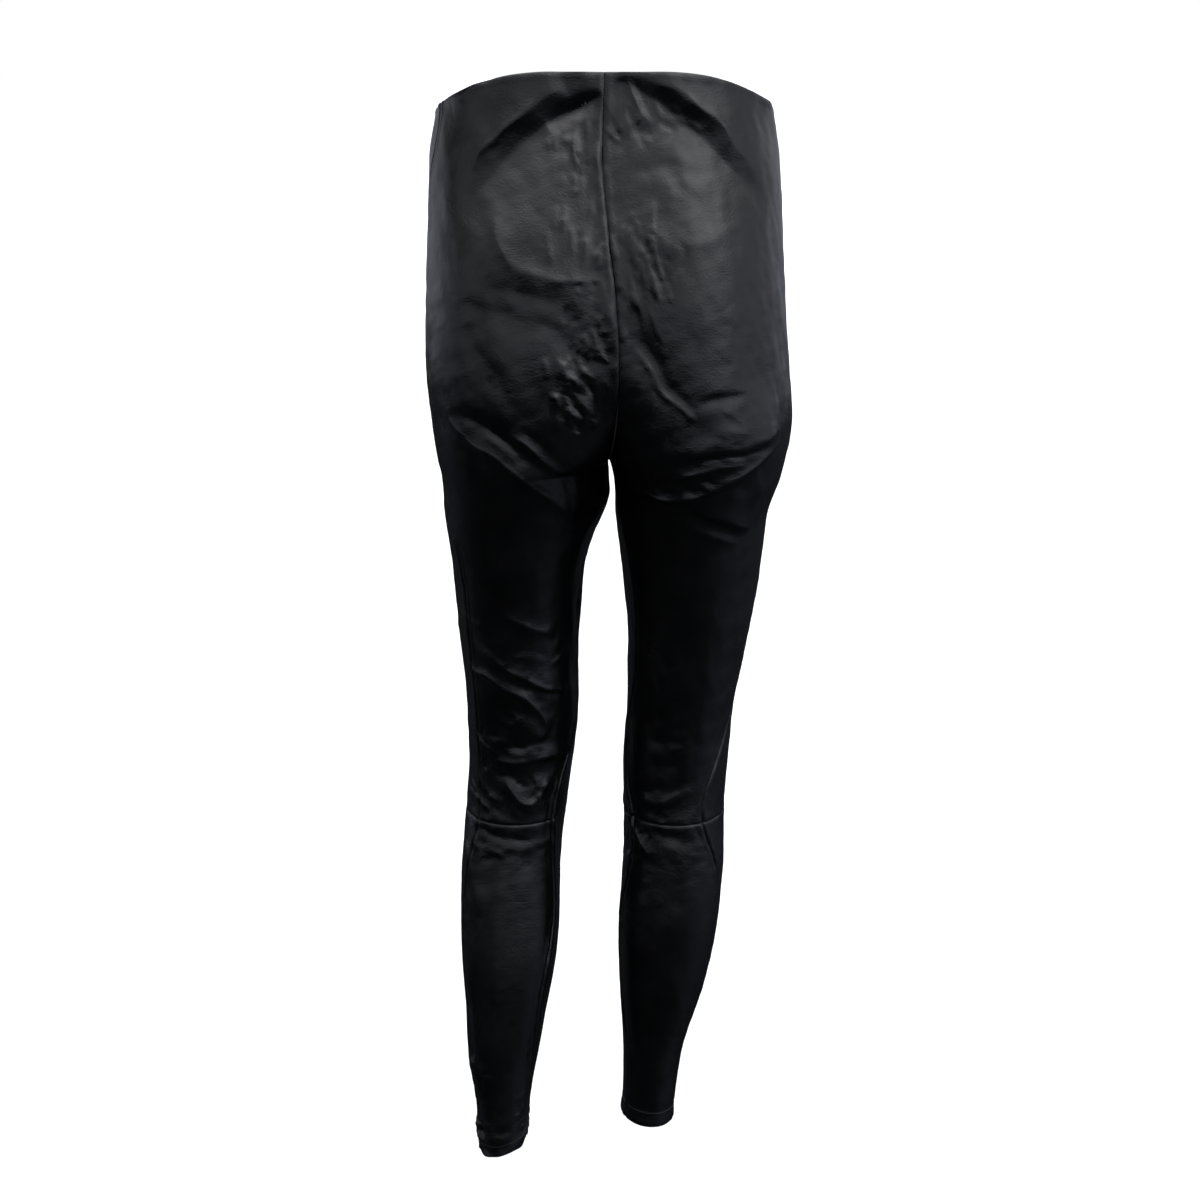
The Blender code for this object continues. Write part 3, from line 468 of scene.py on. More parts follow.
# ---------------------------------------------------------------------------------------------
# Panels
# ---------------------------------------------------------------------------------------------
Pitch = namedtuple("Pitch", "down across widest")
PANELS = {
    ("back", "upper"): Pitch(0.00180, 0.00175, 0.283),
    ("back", "lower"): Pitch(0.00150, 0.00150, 0.095),
    ("front", "upper"): Pitch(0.00230, 0.00230, 0.278),
    ("front", "lower"): Pitch(0.00200, 0.00205, 0.278),
}
ROW_SAMPLES = 301
ROW_APART = 10.0         # sets the rows' lengths apart, so that one call reads them all
EDGE_STOPS = np.array([0.0, 0.00035, 0.0009, 0.0018, 0.0030, 0.0045])
LEAST_STEPS = 4
BEND_FROM = 0.35         # share of a row from where it bends under to the crotch
DENSE_TOP_Z = BACK_FORK_Z + 0.02     # rows lie closer together between these two heights
DENSE_END_Z = -0.42
DENSE_TOP_OVER = 0.03    # heights over which that sets in and ends
DENSE_END_OVER = 0.04
DENSE_EXTRA = 0.7
EVEN_ENDS = 0.01         # but not this close to the waist and the knee

SEAM_DEPTH = 0.00095     # groove that the two edges of a seam sink into
SEAM_REACH = 0.0011
SEAM_POWER = 1.6
SEAM_PLUMP = 0.00045     # swelling beside the groove
PLUMP_PLACE = 0.0042
PLUMP_REACH = 0.0030
LEFT_BACK_PLUMP = 1.5    # the left back panel swells this much more
KNEE_DEPTH = 0.00060
KNEE_PLUMP = 0.00008
PUCKER_REACH = 0.006
CLEAR_FROM = 0.002       # relief sets in at this distance from the closed centre seam
CLEAR_OVER = 0.024
ALLOWANCE = 0.009        # spare leather inside, either side of a seam
ALLOWANCE_THICK = 0.0010
STEP_OVER = 0.0012       # width of the step where the wall grows thicker
CENTRE_THICK = 0.0016    # most that the wall may be at the closed centre seam
EDGE_RADIUS = 0.0010     # rounding of the waist and hem edges
INNER_ROUNDING = 0.6
TUCK = 0.0004            # how far the inside reaches under the next panel, so seams are closed
LINING_STEP = 3          # the inside takes every third point of the outside
SHARP_ANGLE = 48

WAIST_ROLL = 0.0004      # roll along the turned waist edge: its height, place and reach
WAIST_ROLL_AT = 0.0040
WAIST_ROLL_REACH = 0.0026
WAIST_DENT_REACH = 0.012

RIGHT_BAND = 0.019       # depth of the stitched band at the right hem
RIGHT_FLARE = 0.0016
RIGHT_LINE = 0.0006      # depth and reach of the line along the band's top
RIGHT_LINE_REACH = 0.0011
GATHER_TOP = 0.052       # the left hem is gathered from here down, over the next height
GATHER_OVER = 0.03
GATHER_END = 0.003       # and fades out towards the edge, down to here
GATHER_END_OVER = 0.006
GATHER_FOLD = 0.0011     # height and spacing of the gathers
GATHER_PITCH = 0.0086
CUFF_X = 0.1117          # middle of the left hem, and the width there that stays plain
CUFF_PLAIN = 0.018
CUFF_PLAIN_OVER = 0.007
CUFF_SIDE_X = 0.112      # the crumpling grows stronger outwards from here
CUFF_SIDE_OVER = 0.02
CUFF_LEAST = 0.35
CUFF_STRETCH = np.array([1.0, 1.0, 1.6])     # crumples are less tall than wide
LEVEL = np.array([1.0, 1.0, 0.0])            # the edge's wave leaves the height out
HEM_WAVE_REACH = 0.018

HEM_ROWS = {"left": 0.0115, "right": 0.0165}
STITCH_RINGS = 7
STITCH_SIDES = 8
STITCH_START = 0.002
STITCH_SHARE = 0.76      # share of a pitch that the thread shows
THREAD_LIFT = 0.65       # rise of a stitch and depth of its ends, in thread thicknesses
THREAD_SUNK = 0.35
THREAD_END_POWER = 6     # how abruptly a stitch draws in at its ends, and the least of it
THREAD_END_LEAST = 0.04

# Uneven relief: its height, the size of its waves and the seed of their directions
Waves = namedtuple("Waves", "height size seed")
WAVE_RANGE = (0.7, 1.5)
SWELLS = table(Waves, (0.00028, 0.060, 7), (0.00013, 0.024, 8), (0.00004, 0.009, 9))
PUCKERS = Waves(0.00016, 0.011, 21)
WAIST_DENTS = Waves(0.0005, 0.030, 41)
HEM_CRUMPLE = Waves(0.0006, 0.020, 31)
HEM_WAVE = Waves(0.0012, 0.018, 33)
GATHER_WAVES = Waves(1.2, 0.03, 34)          # its height is in radians of the gathers


def smoothstep(value):
    """Rise softly from 0 to 1 as value goes from 0 to 1: v squared times (3 - 2v)."""
    value = np.clip(value, 0.0, 1.0)
    return value * value * (3.0 - 2.0 * value)


def spline(rows, column, z):
    """Read one column of a table at the heights z, on a natural cubic through its rows."""
    knots = np.array([row.z for row in rows])[::-1]
    values = np.array([getattr(row, column) for row in rows], dtype=float)[::-1]
    step = np.diff(knots)
    slope = np.diff(values) / step
    count = len(knots)
    matrix = np.eye(count)
    bend = np.zeros(count)
    for i in range(1, count - 1):
        matrix[i, i - 1:i + 2] = step[i - 1], 2.0 * (step[i - 1] + step[i]), step[i]
        bend[i] = 6.0 * (slope[i] - slope[i - 1])
    bend = np.linalg.solve(matrix, bend)
    z = np.clip(z, knots[0], knots[-1])
    i = np.clip(np.searchsorted(knots, z) - 1, 0, count - 2)
    above, below = z - knots[i], knots[i + 1] - z
    cubic = (bend[i] * below ** 3 + bend[i + 1] * above ** 3) / (6.0 * step[i])
    low = (values[i] / step[i] - bend[i] * step[i] / 6.0) * below
    high = (values[i + 1] / step[i] - bend[i + 1] * step[i] / 6.0) * above
    return cubic + low + high


def closing(z):
    """0 where the seat bridges the centre seam, 1 where the two halves close against it."""
    return smoothstep((VALLEY_TOP_Z - z) / (VALLEY_TOP_Z - VALLEY_END_Z))


def fork(z, start_z):
    """1 down to start_z, then falling to 0 at the crotch as the centre seam turns under."""
    depth = np.clip((start_z - z) / (start_z - CROTCH_Z), 0.0, 1.0)
    return np.sqrt(1.0 - depth ** FORK_POWER)


def surface(half, z, angle):
    """Points of one half at the heights z and the angles round the section.

    Each quarter of a section is an arc between two of its four outermost points: across is
    the cosine and depth the sine of the quarter's angle, each raised to a power that squares
    the corner.  Above the crotch the inner end lies on the centre seam, a shallow valley.
    """
    z, angle = np.broadcast_arrays(np.asarray(z, float), np.asarray(angle, float))
    torso = z >= CROTCH_Z
    angle = np.where(torso, np.clip(angle, -180.0, 180.0), (angle + 180.0) % 360.0 - 180.0)
    behind = angle >= 0.0
    turn = np.radians(np.abs(angle))

    outer = spline(half.rings, "outer", z)
    leg_rings = half.rings[next(i for i, ring in enumerate(half.rings) if ring.z == CROTCH_Z):]
    leg_inner = spline(leg_rings, "inner", z) + 0.5 * SEAM_GAP
    seam_x = np.where(behind, spline(BACK_SEAM, "x", z), CROTCH_X * smoothstep(z / CROTCH_Z))
    inner = np.where(torso, half.sign * seam_x + 0.5 * SEAM_GAP, leg_inner)
    crest_base = spline(half.rings, "inner", z)
    apex = crest_base + (outer - crest_base) * spline(PROFILE, "apex", z)
    middle = spline(PROFILE, "middle", z)
    furthest = np.where(behind, spline(PROFILE, "back", z), spline(PROFILE, "front", z))
    dip = np.where(behind, spline(PROFILE, "dip", z), 0.0)
    turned = np.where(behind, fork(z, BACK_FORK_Z), fork(z, FRONT_FORK_Z))
    inner_y = np.where(torso, middle + (furthest - dip - middle) * turned, middle)

    power = 2.0 / spline(PROFILE, "fullness", z)
    quarter = np.clip(turn, 0.0, math.pi / 2.0)
    x = apex + (outer - apex) * np.cos(quarter) ** power
    y = middle + (furthest - middle) * np.sin(quarter) ** power

    quarter = np.clip(turn - math.pi / 2.0, 0.0, math.pi / 2.0)
    closed = closing(z)
    across = closed * np.sin(quarter) + (1.0 - closed) * quarter / (math.pi / 2.0)
    along = closed * np.cos(quarter) + (1.0 - closed) * np.cos(quarter) ** 2
    inside = turn > math.pi / 2.0
    x = np.where(inside, apex + (inner - apex) * across, x)
    y = np.where(inside, inner_y + (furthest - inner_y) * along, y)
    y = y + spline(half.rings, "shift", z)
    return np.stack([half.sign * x, y, z], axis=-1)


def seam_angles(half, face, z):
    """Angles where a panel starts, at the outer seam, and ends, at the inner one."""
    outseam = spline(half.rings, "outseam", z)
    inseam = np.where(z < CROTCH_Z, spline(half.rings, "inseam", z), 0.0)
    return outseam, (180.0 if face == "back" else -180.0) - inseam


def hem_level(half):
    """The middle height of a hem."""
    return 0.5 * (half.hem.outer_z + half.hem.inner_z)


def height(half, face, level, angle, across):
    """Height of a row's point: the level, bent to the waist edge, the crotch and the hem."""
    lift = np.sin(np.radians(np.minimum(np.abs(angle), 90.0))) ** WAIST_ARCH * np.sign(angle)
    z = level + WAIST_RISE * lift * np.clip(1.0 + level / WAIST_BLEND, 0.0, 1.0) ** 2
    start = BACK_FORK_Z if face == "back" else FRONT_FORK_Z
    depth = np.clip((start - level) / (start - CROTCH_Z), 0.0, 1.0)
    under = start - (start - CROTCH_Z) * np.sin(0.5 * math.pi * depth)
    inward = smoothstep((across - BEND_FROM) / (1.0 - BEND_FROM))
    z = z + np.where((depth > 0.0) & (depth < 1.0), (under - level) * inward, 0.0)
    slant = 0.5 * (half.hem.outer_z - half.hem.inner_z) * np.cos(np.radians(angle))
    return z + slant * smoothstep((KNEE_Z - level) / (KNEE_Z - hem_level(half)))


def even_steps(length, pitch):
    """How many even steps fit between the close stops at both ends of a length."""
    return max(LEAST_STEPS, int(round((length - 2.0 * EDGE_STOPS[-1]) / pitch)))


def edge_stops(length, pitch):
    """Stops along a length: close together at both ends, then even steps of about one pitch."""
    ends = EDGE_STOPS[-1]
    inside = np.linspace(ends, length - ends, even_steps(length, pitch) + 1)[1:-1]
    return np.concatenate([EDGE_STOPS, inside, length - EDGE_STOPS[::-1]])


def row_levels(half, part, pitch):
    """Levels of a panel's rows, closer together at its ends and where the seat turns under."""
    half_gap = 0.5 * SEAM_GAP
    if part == "lower":
        return KNEE_Z - half_gap - edge_stops(KNEE_Z - half_gap - hem_level(half), pitch)
    level = -edge_stops(-(KNEE_Z + half_gap), pitch)
    dense = (smoothstep((DENSE_TOP_Z - level) / DENSE_TOP_OVER)
             * smoothstep((level - DENSE_END_Z) / DENSE_END_OVER))
    dense = np.where((level > -EVEN_ENDS) | (level < KNEE_Z + EVEN_ENDS), 0.0, dense)
    weight = np.diff(level) * (1.0 + DENSE_EXTRA * 0.5 * (dense[1:] + dense[:-1]))
    travelled = np.concatenate([[0.0], np.cumsum(-weight)])
    return np.interp(edge_stops(travelled[-1], pitch), travelled, level)


def panel_grid(half, face, levels, pitch):
    """Points of a smooth panel and their distances along the rows from the two side seams.

    A row is walked on the section's curve, and its points are set at even steps of arc length
    between two close groups at the seams.  All rows have the same number of points.
    """
    across = np.linspace(0.0, 1.0, ROW_SAMPLES)[None, :]
    level = levels[:, None]
    outseam, end = seam_angles(half, face, level)
    angle = outseam + (end - outseam) * across
    points = surface(half, height(half, face, level, angle, across), angle)
    steps = np.linalg.norm(np.diff(points, axis=1), axis=2)
    length = np.concatenate([np.zeros((len(levels), 1)), np.cumsum(steps, axis=1)], axis=1)
    half_gap = 0.5 * SEAM_GAP
    start = np.full((len(levels), 1), half_gap)
    finish = length[:, -1:] - half_gap * closing(level)
    even = np.linspace(0.0, 1.0, even_steps(pitch.widest, pitch.across) + 1)[1:-1][None, :]
    near, far = start + EDGE_STOPS[-1], finish - EDGE_STOPS[-1]
    stops = np.concatenate([start + EDGE_STOPS, near + (far - near) * even,
                            finish - EDGE_STOPS[::-1]], axis=1)
    offset = ROW_APART * np.arange(len(levels))[:, None]
    flat = [np.interp((stops + offset).ravel(), (length + offset).ravel(),
                      points[..., axis].ravel()) for axis in range(3)]
    grid = np.stack(flat, axis=-1).reshape(stops.shape + (3,))
    return grid, stops - start, finish - stops


def outward_normals(grid, turning):
    """Unit normals of a grid: the cross product of its steps down and across."""
    down = np.gradient(grid, axis=0, edge_order=2)
    across = np.gradient(grid, axis=1, edge_order=2)
    return unit(np.cross(down, across) * turning)


def unit(vectors):
    """The vectors at length 1."""
    return vectors / np.linalg.norm(vectors, axis=-1, keepdims=True)


def uneven(points, size, seed, waves=7):
    """Smooth irregular values around 0: a sum of sines that run in seeded directions."""
    random = np.random.default_rng(seed)
    direction = unit(random.normal(size=(waves, 3)))
    rate = 2.0 * math.pi / (size * random.uniform(*WAVE_RANGE, waves))
    phase = random.uniform(0.0, 2.0 * math.pi, waves)
    value = np.zeros(points.shape[:-1])
    for way, speed, start in zip(direction, rate, phase):
        value += np.sin((points @ way) * speed + start)
    return value / math.sqrt(0.5 * waves)


def waves_on(points, waves):
    """Uneven relief: the height of the waves times uneven values of their size and seed."""
    return waves.height * uneven(points, waves.size, waves.seed)


def bell(distance, place, reach):
    """1 at a place, falling off as exp(-(gap / reach) ** 2)."""
    return np.exp(-((distance - place) / reach) ** 2)


def crease_path(half, places, passes=0):
    """Points along a crease: a Catmull-Rom curve through its places, laid on the surface.

    Each smoothing pass moves every point but the ends to (before + 2 * itself + after) / 4.
    """
    knots = np.array(places, dtype=float)
    knots = np.concatenate([[2 * knots[0] - knots[1]], knots, [2 * knots[-1] - knots[-2]]])
    t = np.linspace(0.0, 1.0, CREASE_STEPS, endpoint=False)[None, :, None]
    a, b, c, d = (knots[i:len(knots) - 3 + i, None, :] for i in range(4))
    curve = 0.5 * (2 * b + (c - a) * t + (2 * a - 5 * b + 4 * c - d) * t ** 2
                   + (3 * b - a - 3 * c + d) * t ** 3)
    curve = np.concatenate([curve.reshape(-1, 2), knots[-2:-1]])
    path = surface(half, curve[:, 1] * MM, curve[:, 0])
    for _ in range(passes):
        path[1:-1] = 0.25 * (path[:-2] + 2.0 * path[1:-1] + path[2:])
    return path


def nearest_on(path, spot):
    """The squared gap to a path, the place along it in steps, and the height below it."""
    best = np.full(len(spot), np.inf)
    position = np.zeros(len(spot))
    below = np.zeros(len(spot))
    for i, (start, step) in enumerate(zip(path[:-1], np.diff(path, axis=0))):
        along = np.clip(((spot - start) @ step) / (step @ step), 0.0, 1.0)
        foot = start + along[:, None] * step
        gap = ((spot - foot) ** 2).sum(axis=1)
        closer = gap < best
        best = np.where(closer, gap, best)
        position = np.where(closer, i + along, position)
        below = np.where(closer, foot[:, 2] - spot[:, 2], below)
    return best, position, below


def crease_relief(points, path, tall, wide, sharp, lean, seed):
    """Relief of one crease on the points: tall * exp(-(distance / wide) ** sharp).

    The distance is rounded at the crest, the width leans to one side, and the height swells
    and fades unevenly along the run, to nothing at both ends.
    """
    relief = np.zeros(len(points))
    reach = wide * (1.0 + abs(lean)) * (BELL_REACH if sharp > BELL_SHARP else CRISP_REACH)
    low, high = path.min(axis=0) - reach, path.max(axis=0) + reach
    near = np.flatnonzero(((points > low) & (points < high)).all(axis=1))
    if not len(near):
        return relief
    gap, position, below = nearest_on(path, points[near])
    distance = np.sqrt(gap)
    position /= len(path) - 1
    fade = 1.0 - np.abs(2.0 * position - 1.0) ** FADE_POWER
    phase = np.random.default_rng(seed).uniform(0.0, 2.0 * math.pi, 3)
    length = np.linalg.norm(np.diff(path, axis=0), axis=1).sum()
    most = min(SWELL_MOST, SWELL / abs(tall))
    long, short = (position * length / run * 2 * math.pi for run in (SWELL_RUN, 0.5 * SWELL_RUN))
    swell = (1.0 + most * np.sin(long + phase[0])
             + SWELL_SECOND * most * np.sin(short + phase[1]))
    side = np.clip(below / (distance + 1e-6), -1.0, 1.0)
    width = wide * (1.0 - lean * side) * (END_WIDTH + (1.0 - END_WIDTH) * fade)
    crest = WIDE_CREST if wide > WIDE_FROM else NARROW_CREST
    rounded = np.sqrt(distance ** 2 + crest ** 2) - crest
    relief[near] = tall * fade * swell * np.exp(-(rounded / width) ** sharp)
    return relief


def wrinkles_of(half, patch):
    """Paths and sizes of a patch's wrinkles, scattered in an ellipse by its seed."""
    random = np.random.default_rng(patch.seed)
    centre = np.array([patch.angle, patch.z], dtype=float)
    beside = surface(half, np.array([patch.z * MM] * 2), patch.angle + np.array([-PROBE, PROBE]))
    per_degree = TO_MM * np.linalg.norm(beside[1] - beside[0]) / (2.0 * PROBE)
    for _ in range(patch.count):
        radius, turn = math.sqrt(random.uniform()), random.uniform(0.0, 2.0 * math.pi)
        middle = np.array([patch.across * radius * math.cos(turn),
                           patch.down * radius * math.sin(turn)])
        slope = math.radians(patch.slope + random.normal(0.0, SLOPE_SPREAD))
        half_run = 0.5 * patch.length * random.uniform(*RUN_RANGE)
        run = np.array([math.cos(slope), math.sin(slope)]) * half_run
        bow = np.array([-run[1], run[0]]) * random.normal(0.0, BOW_SPREAD)
        places = np.array([middle - run, *(middle + share * run + bow for share in BOW_PLACES),
                           middle + run])
        places[:, 0] /= per_degree
        tall = patch.height * random.uniform(*HEIGHT_RANGE)
        tall *= 1.0 if random.uniform() < RIDGE_SHARE else -1.0
        wide = patch.width * random.uniform(*WIDTH_RANGE)
        yield centre + places, tall, wide, int(random.integers(1 << 30))


def leather_relief(half, points):
    """How far the leather stands off its form: creases, small wrinkles and a soft swell."""
    drift = np.stack([uneven(points, DRIFT_SIZE, seed) for seed in DRIFT_SEEDS], axis=-1)
    warped = points + DRIFT * drift
    relief = np.zeros(len(points))
    for other in (LEFT, RIGHT):
        share = 1.0 if other is half else np.where(points[:, 2] > SHARED_Z, 1.0, 0.0)
        total = np.zeros(len(points))
        for index, crease in enumerate(other.creases):
            path = crease_path(other, crease.places, round(PASSES_PER_MM * crease.width))
            total += crease_relief(warped, path, MM * crease.height, MM * crease.width,
                                   crease.sharp, crease.lean, CREASE_SEED + index)
        if other is half:
            for patch in other.patches:
                for places, tall, wide, seed in wrinkles_of(other, patch):
                    total += crease_relief(warped, crease_path(other, places), MM * tall,
                                           MM * wide, WRINKLE_SHARP, 0.0, seed)
        relief += share * total
    smooth = 1.0 - CALF_SMOOTH * smoothstep((CALF_SMOOTH_Z - points[:, 2]) / CALF_SMOOTH_OVER)
    return relief + smooth * sum(waves_on(points, waves) for waves in SWELLS)


def clear_of_seam(points):
    """0 on the closed part of the centre seam and 1 away from it, so the halves don't touch."""
    away = smoothstep((np.abs(points[..., 0] - CROTCH_X) - CLEAR_FROM) / CLEAR_OVER)
    closed = np.where(points[..., 2] > SHARED_Z, closing(points[..., 2]), 0.0)
    return 1.0 - closed * (1.0 - away)


def seam_profile(distance, points, plump, depth):
    """A seam's edge: a narrow groove, a swelling beside it, and puckers that die away."""
    groove = -depth * np.exp(-(distance / SEAM_REACH) ** SEAM_POWER)
    swell = plump * bell(distance, PLUMP_PLACE, PLUMP_REACH)
    pucker = waves_on(points, PUCKERS) * np.exp(-distance / PUCKER_REACH)
    return groove, swell + pucker


def rounded_edge(distance):
    """Depth of a rounded edge: the radius less the height of a quarter circle."""
    into = np.clip(EDGE_RADIUS - distance, 0.0, EDGE_RADIUS)
    return EDGE_RADIUS - np.sqrt(EDGE_RADIUS ** 2 - into ** 2)


def hem_shape(half, distance, points):
    """Relief near a hem: a stitched band on the right, a crumpled gathered edge on the left."""
    if half is RIGHT:
        flare = RIGHT_FLARE * smoothstep(1.0 - distance / RIGHT_BAND)
        return flare - RIGHT_LINE * bell(distance, RIGHT_BAND, RIGHT_LINE_REACH)
    x = points[..., 0]
    crumple = waves_on(points * CUFF_STRETCH, HEM_CRUMPLE)
    gathered = smoothstep((GATHER_TOP - distance) / GATHER_OVER)
    fold = np.sin(2.0 * math.pi * distance / GATHER_PITCH + waves_on(points, GATHER_WAVES))
    rings = GATHER_FOLD * fold * smoothstep((np.abs(x - CUFF_X) - CUFF_PLAIN) / CUFF_PLAIN_OVER)
    rings = rings * gathered * smoothstep((distance - GATHER_END) / GATHER_END_OVER)
    outward = smoothstep((x - CUFF_SIDE_X) / CUFF_SIDE_OVER) + CUFF_LEAST
    return crumple * outward * gathered + rings


def grid_faces(index):
    """The corners of each face of a grid of point numbers, one face after the other."""
    corners = (index[:-1, :-1], index[1:, :-1], index[1:, 1:], index[:-1, 1:])
    return np.stack([corner.ravel() for corner in corners], axis=1)


def closed_wall(name, outer, inner, turning):
    """A closed mesh between an outer grid and a coarser inner one, joined round the rim.

    The inner grid has every LINING_STEP-th row and column of the outer one and its last ones.
    Each rim face runs from one inner point to the next and past all outer points between them.
    """
    rows, columns = outer.shape[:2]
    keep_rows = np.unique(np.append(np.arange(0, rows, LINING_STEP), rows - 1))
    keep_columns = np.unique(np.append(np.arange(0, columns, LINING_STEP), columns - 1))
    lining = inner[np.ix_(keep_rows, keep_columns)]
    near = np.arange(rows * columns).reshape(rows, columns)
    far = near.size + np.arange(lining.shape[0] * lining.shape[1]).reshape(lining.shape[:2])
    shell = grid_faces(near)[:, ::turning].tolist()
    backing = grid_faces(far)[:, [0, 3, 2, 1]][:, ::turning].tolist()
    rim = []
    for line, inside, keep, way in ((near[0], far[0], keep_columns, 1),
                                    (near[-1], far[-1], keep_columns, -1),
                                    (near[:, 0], far[:, 0], keep_rows, -1),
                                    (near[:, -1], far[:, -1], keep_rows, 1)):
        for k, (a, b) in enumerate(zip(keep[:-1], keep[1:])):
            ring = [*line[a:b + 1].tolist(), int(inside[k + 1]), int(inside[k])]
            rim.append(ring[::way * turning])
    mesh = bpy.data.meshes.new(name)
    mesh.from_pydata(np.concatenate([outer.reshape(-1, 3), lining.reshape(-1, 3)]), [],
                     shell + backing + rim)
    materials = np.zeros(len(mesh.polygons), dtype=np.int32)
    materials[len(shell):len(shell) + len(backing)] = 1
    mesh.polygons.foreach_set("material_index", materials)
    mesh.shade_smooth()
    mesh.set_sharp_from_angle(angle=math.radians(SHARP_ANGLE))
    return mesh


def linked(name, mesh):
    """A new object in the scene with this mesh."""
    piece = bpy.data.objects.new(name, mesh)
    bpy.context.scene.collection.objects.link(piece)
    return piece


def hem_stitches(name, outer, normals, edge, depth):
    """A row of stitches at a depth above a hem, each a round thread that dips in at its ends.

    The row is where the distance to the edge equals the depth.  Along each stitch the thread
    rises as a sine, and its rings are circles of the thread's radius, drawn in at both ends.
    """
    thread = bpy.context.scene.trousers_stitches
    column = np.arange(outer.shape[1])
    below = np.argmax(edge < depth, axis=0)
    above, under = edge[below - 1, column], edge[below, column]
    share = ((above - depth) / (above - under))[:, None]
    line = outer[below - 1, column] * (1.0 - share) + outer[below, column] * share
    way_out = unit(normals[below, column])
    run = np.concatenate([[0.0], np.cumsum(np.linalg.norm(np.diff(line, axis=0), axis=1))])
    count = int((run[-1] - 2.0 * STITCH_START) / thread.pitch)
    start = STITCH_START + thread.pitch * np.arange(count)
    t = np.linspace(0.0, 1.0, STITCH_RINGS)
    place = start[:, None] + STITCH_SHARE * thread.pitch * t
    centre, out = (np.stack([np.interp(place, run, rows[:, axis]) for axis in range(3)], axis=-1)
                   for rows in (line, way_out))
    out = unit(out)
    across = np.cross(out, unit(np.gradient(centre, axis=1)))
    fullness = np.clip(1.0 - (2.0 * t - 1.0) ** THREAD_END_POWER, THREAD_END_LEAST, 1.0)
    radius = 0.5 * thread.thread * np.sqrt(fullness)
    rise = thread.thread * (THREAD_LIFT * np.sin(math.pi * t) - THREAD_SUNK)
    centre = centre + out * rise[None, :, None]
    turn = np.linspace(0.0, 2.0 * math.pi, STITCH_SIDES, endpoint=False)[:, None]
    circle = across[:, :, None] * np.cos(turn) + out[:, :, None] * np.sin(turn)
    rings = centre[:, :, None] + circle * radius[None, :, None, None]
    index = np.arange(rings[..., 0].size).reshape(rings.shape[:3])
    beside = np.roll(index, -1, axis=2)
    sides = np.stack([index[:, :-1], beside[:, :-1], beside[:, 1:], index[:, 1:]], axis=-1)
    ends = index[:, 0, ::-1].tolist() + index[:, -1].tolist()
    mesh = bpy.data.meshes.new(f"stitches_{name}")
    mesh.from_pydata(rings.reshape(-1, 3), [], sides.reshape(-1, 4).tolist() + ends)
    mesh.shade_smooth()
    return linked(mesh.name, mesh)


def leather_panel(half, face, part, settings):
    """One cut panel as a closed wall of leather, riding in the place of its solid.

    The outer side is the form plus the relief, less the seams' grooves and the rounded edge.
    The inner side lies under it by the wall's thickness.
    """
    pitch = PANELS[face, part]
    levels = row_levels(half, part, pitch.down)
    turning = half.sign if face == "back" else -half.sign
    base, from_outseam, from_inseam = panel_grid(half, face, levels, pitch)
    normals = outward_normals(base, turning)
    relief = leather_relief(half, base.reshape(-1, 3)).reshape(base.shape[:2])
    relief = settings.crease_strength * relief

    down = np.linalg.norm(np.diff(base, axis=0), axis=2)
    from_top = np.concatenate([np.zeros((1, base.shape[1])), np.cumsum(down, axis=0)])
    from_bottom = from_top[-1] - from_top
    side = np.minimum(from_outseam, from_inseam)
    knee, edge = (from_bottom, from_top) if part == "upper" else (from_top, from_bottom)
    seam = np.minimum(side, knee)
    plump = SEAM_PLUMP * (LEFT_BACK_PLUMP if face == "back" and half is LEFT else 1.0)
    groove, swell = seam_profile(side, base, plump, SEAM_DEPTH)
    knee_groove, knee_swell = seam_profile(knee, base, KNEE_PLUMP, KNEE_DEPTH)
    relief += swell + knee_swell
    if part == "upper":
        relief += WAIST_ROLL * bell(edge, WAIST_ROLL_AT, WAIST_ROLL_REACH)
        relief += waves_on(base, WAIST_DENTS) * np.exp(-edge / WAIST_DENT_REACH)
    else:
        relief += hem_shape(half, edge, base)
    clear = clear_of_seam(base)
    relief *= clear
    rounding = rounded_edge(edge)
    outer = base + normals * (relief + np.minimum(groove, knee_groove) - rounding)[..., None]

    turned = settings.turned_wall - settings.wall
    wall = settings.wall + turned * smoothstep((settings.turned_depth - edge) / STEP_OVER)
    allowance = smoothstep((ALLOWANCE - seam) / STEP_OVER) * ALLOWANCE_THICK
    thick = np.maximum(wall, settings.wall + allowance)
    thick = np.where(clear < 0.5, np.minimum(thick, CENTRE_THICK), thick)
    inner = base + normals * (relief - thick + rounding * INNER_ROUNDING)[..., None]
    if part == "lower" and half is LEFT:
        wave = waves_on(base * LEVEL, HEM_WAVE) * smoothstep(1.0 - edge / HEM_WAVE_REACH)
        outer[..., 2] += wave
        inner[..., 2] += wave
    inner[:, 0] += TUCK * unit(base[:, 0] - base[:, 1])
    inner[:, -1] += TUCK * unit(base[:, -1] - base[:, -2])
    row, beside = (-1, -2) if part == "upper" else (0, 1)
    inner[row] += TUCK * unit(base[row] - base[beside])

    name = f"leather_{face}_{half.name}_{part}"
    panel = linked(name, closed_wall(name, outer, inner, turning))
    for attribute, values in (("crease", relief), ("seam", seam)):
        layer = panel.data.attributes.new(attribute, "FLOAT", "POINT")
        stored = np.zeros(len(panel.data.vertices), dtype=np.float32)
        stored[:values.size] = TO_MM * values.ravel()
        layer.data.foreach_set("value", stored)
    stitches = None
    if part == "lower":
        stitches = hem_stitches(name, outer, normals, edge, HEM_ROWS[half.name])
    steps_across = np.linalg.norm(np.diff(base, axis=1), axis=2)
    mean_across = 0.5 * (steps_across[1:] + steps_across[:-1])
    mean_down = 0.5 * (down[:, 1:] + down[:, :-1])
    flat = (float(steps_across.sum(axis=1).max()), float(down.sum(axis=0).max()))
    return panel, stitches, flat, float((mean_across * mean_down).sum())


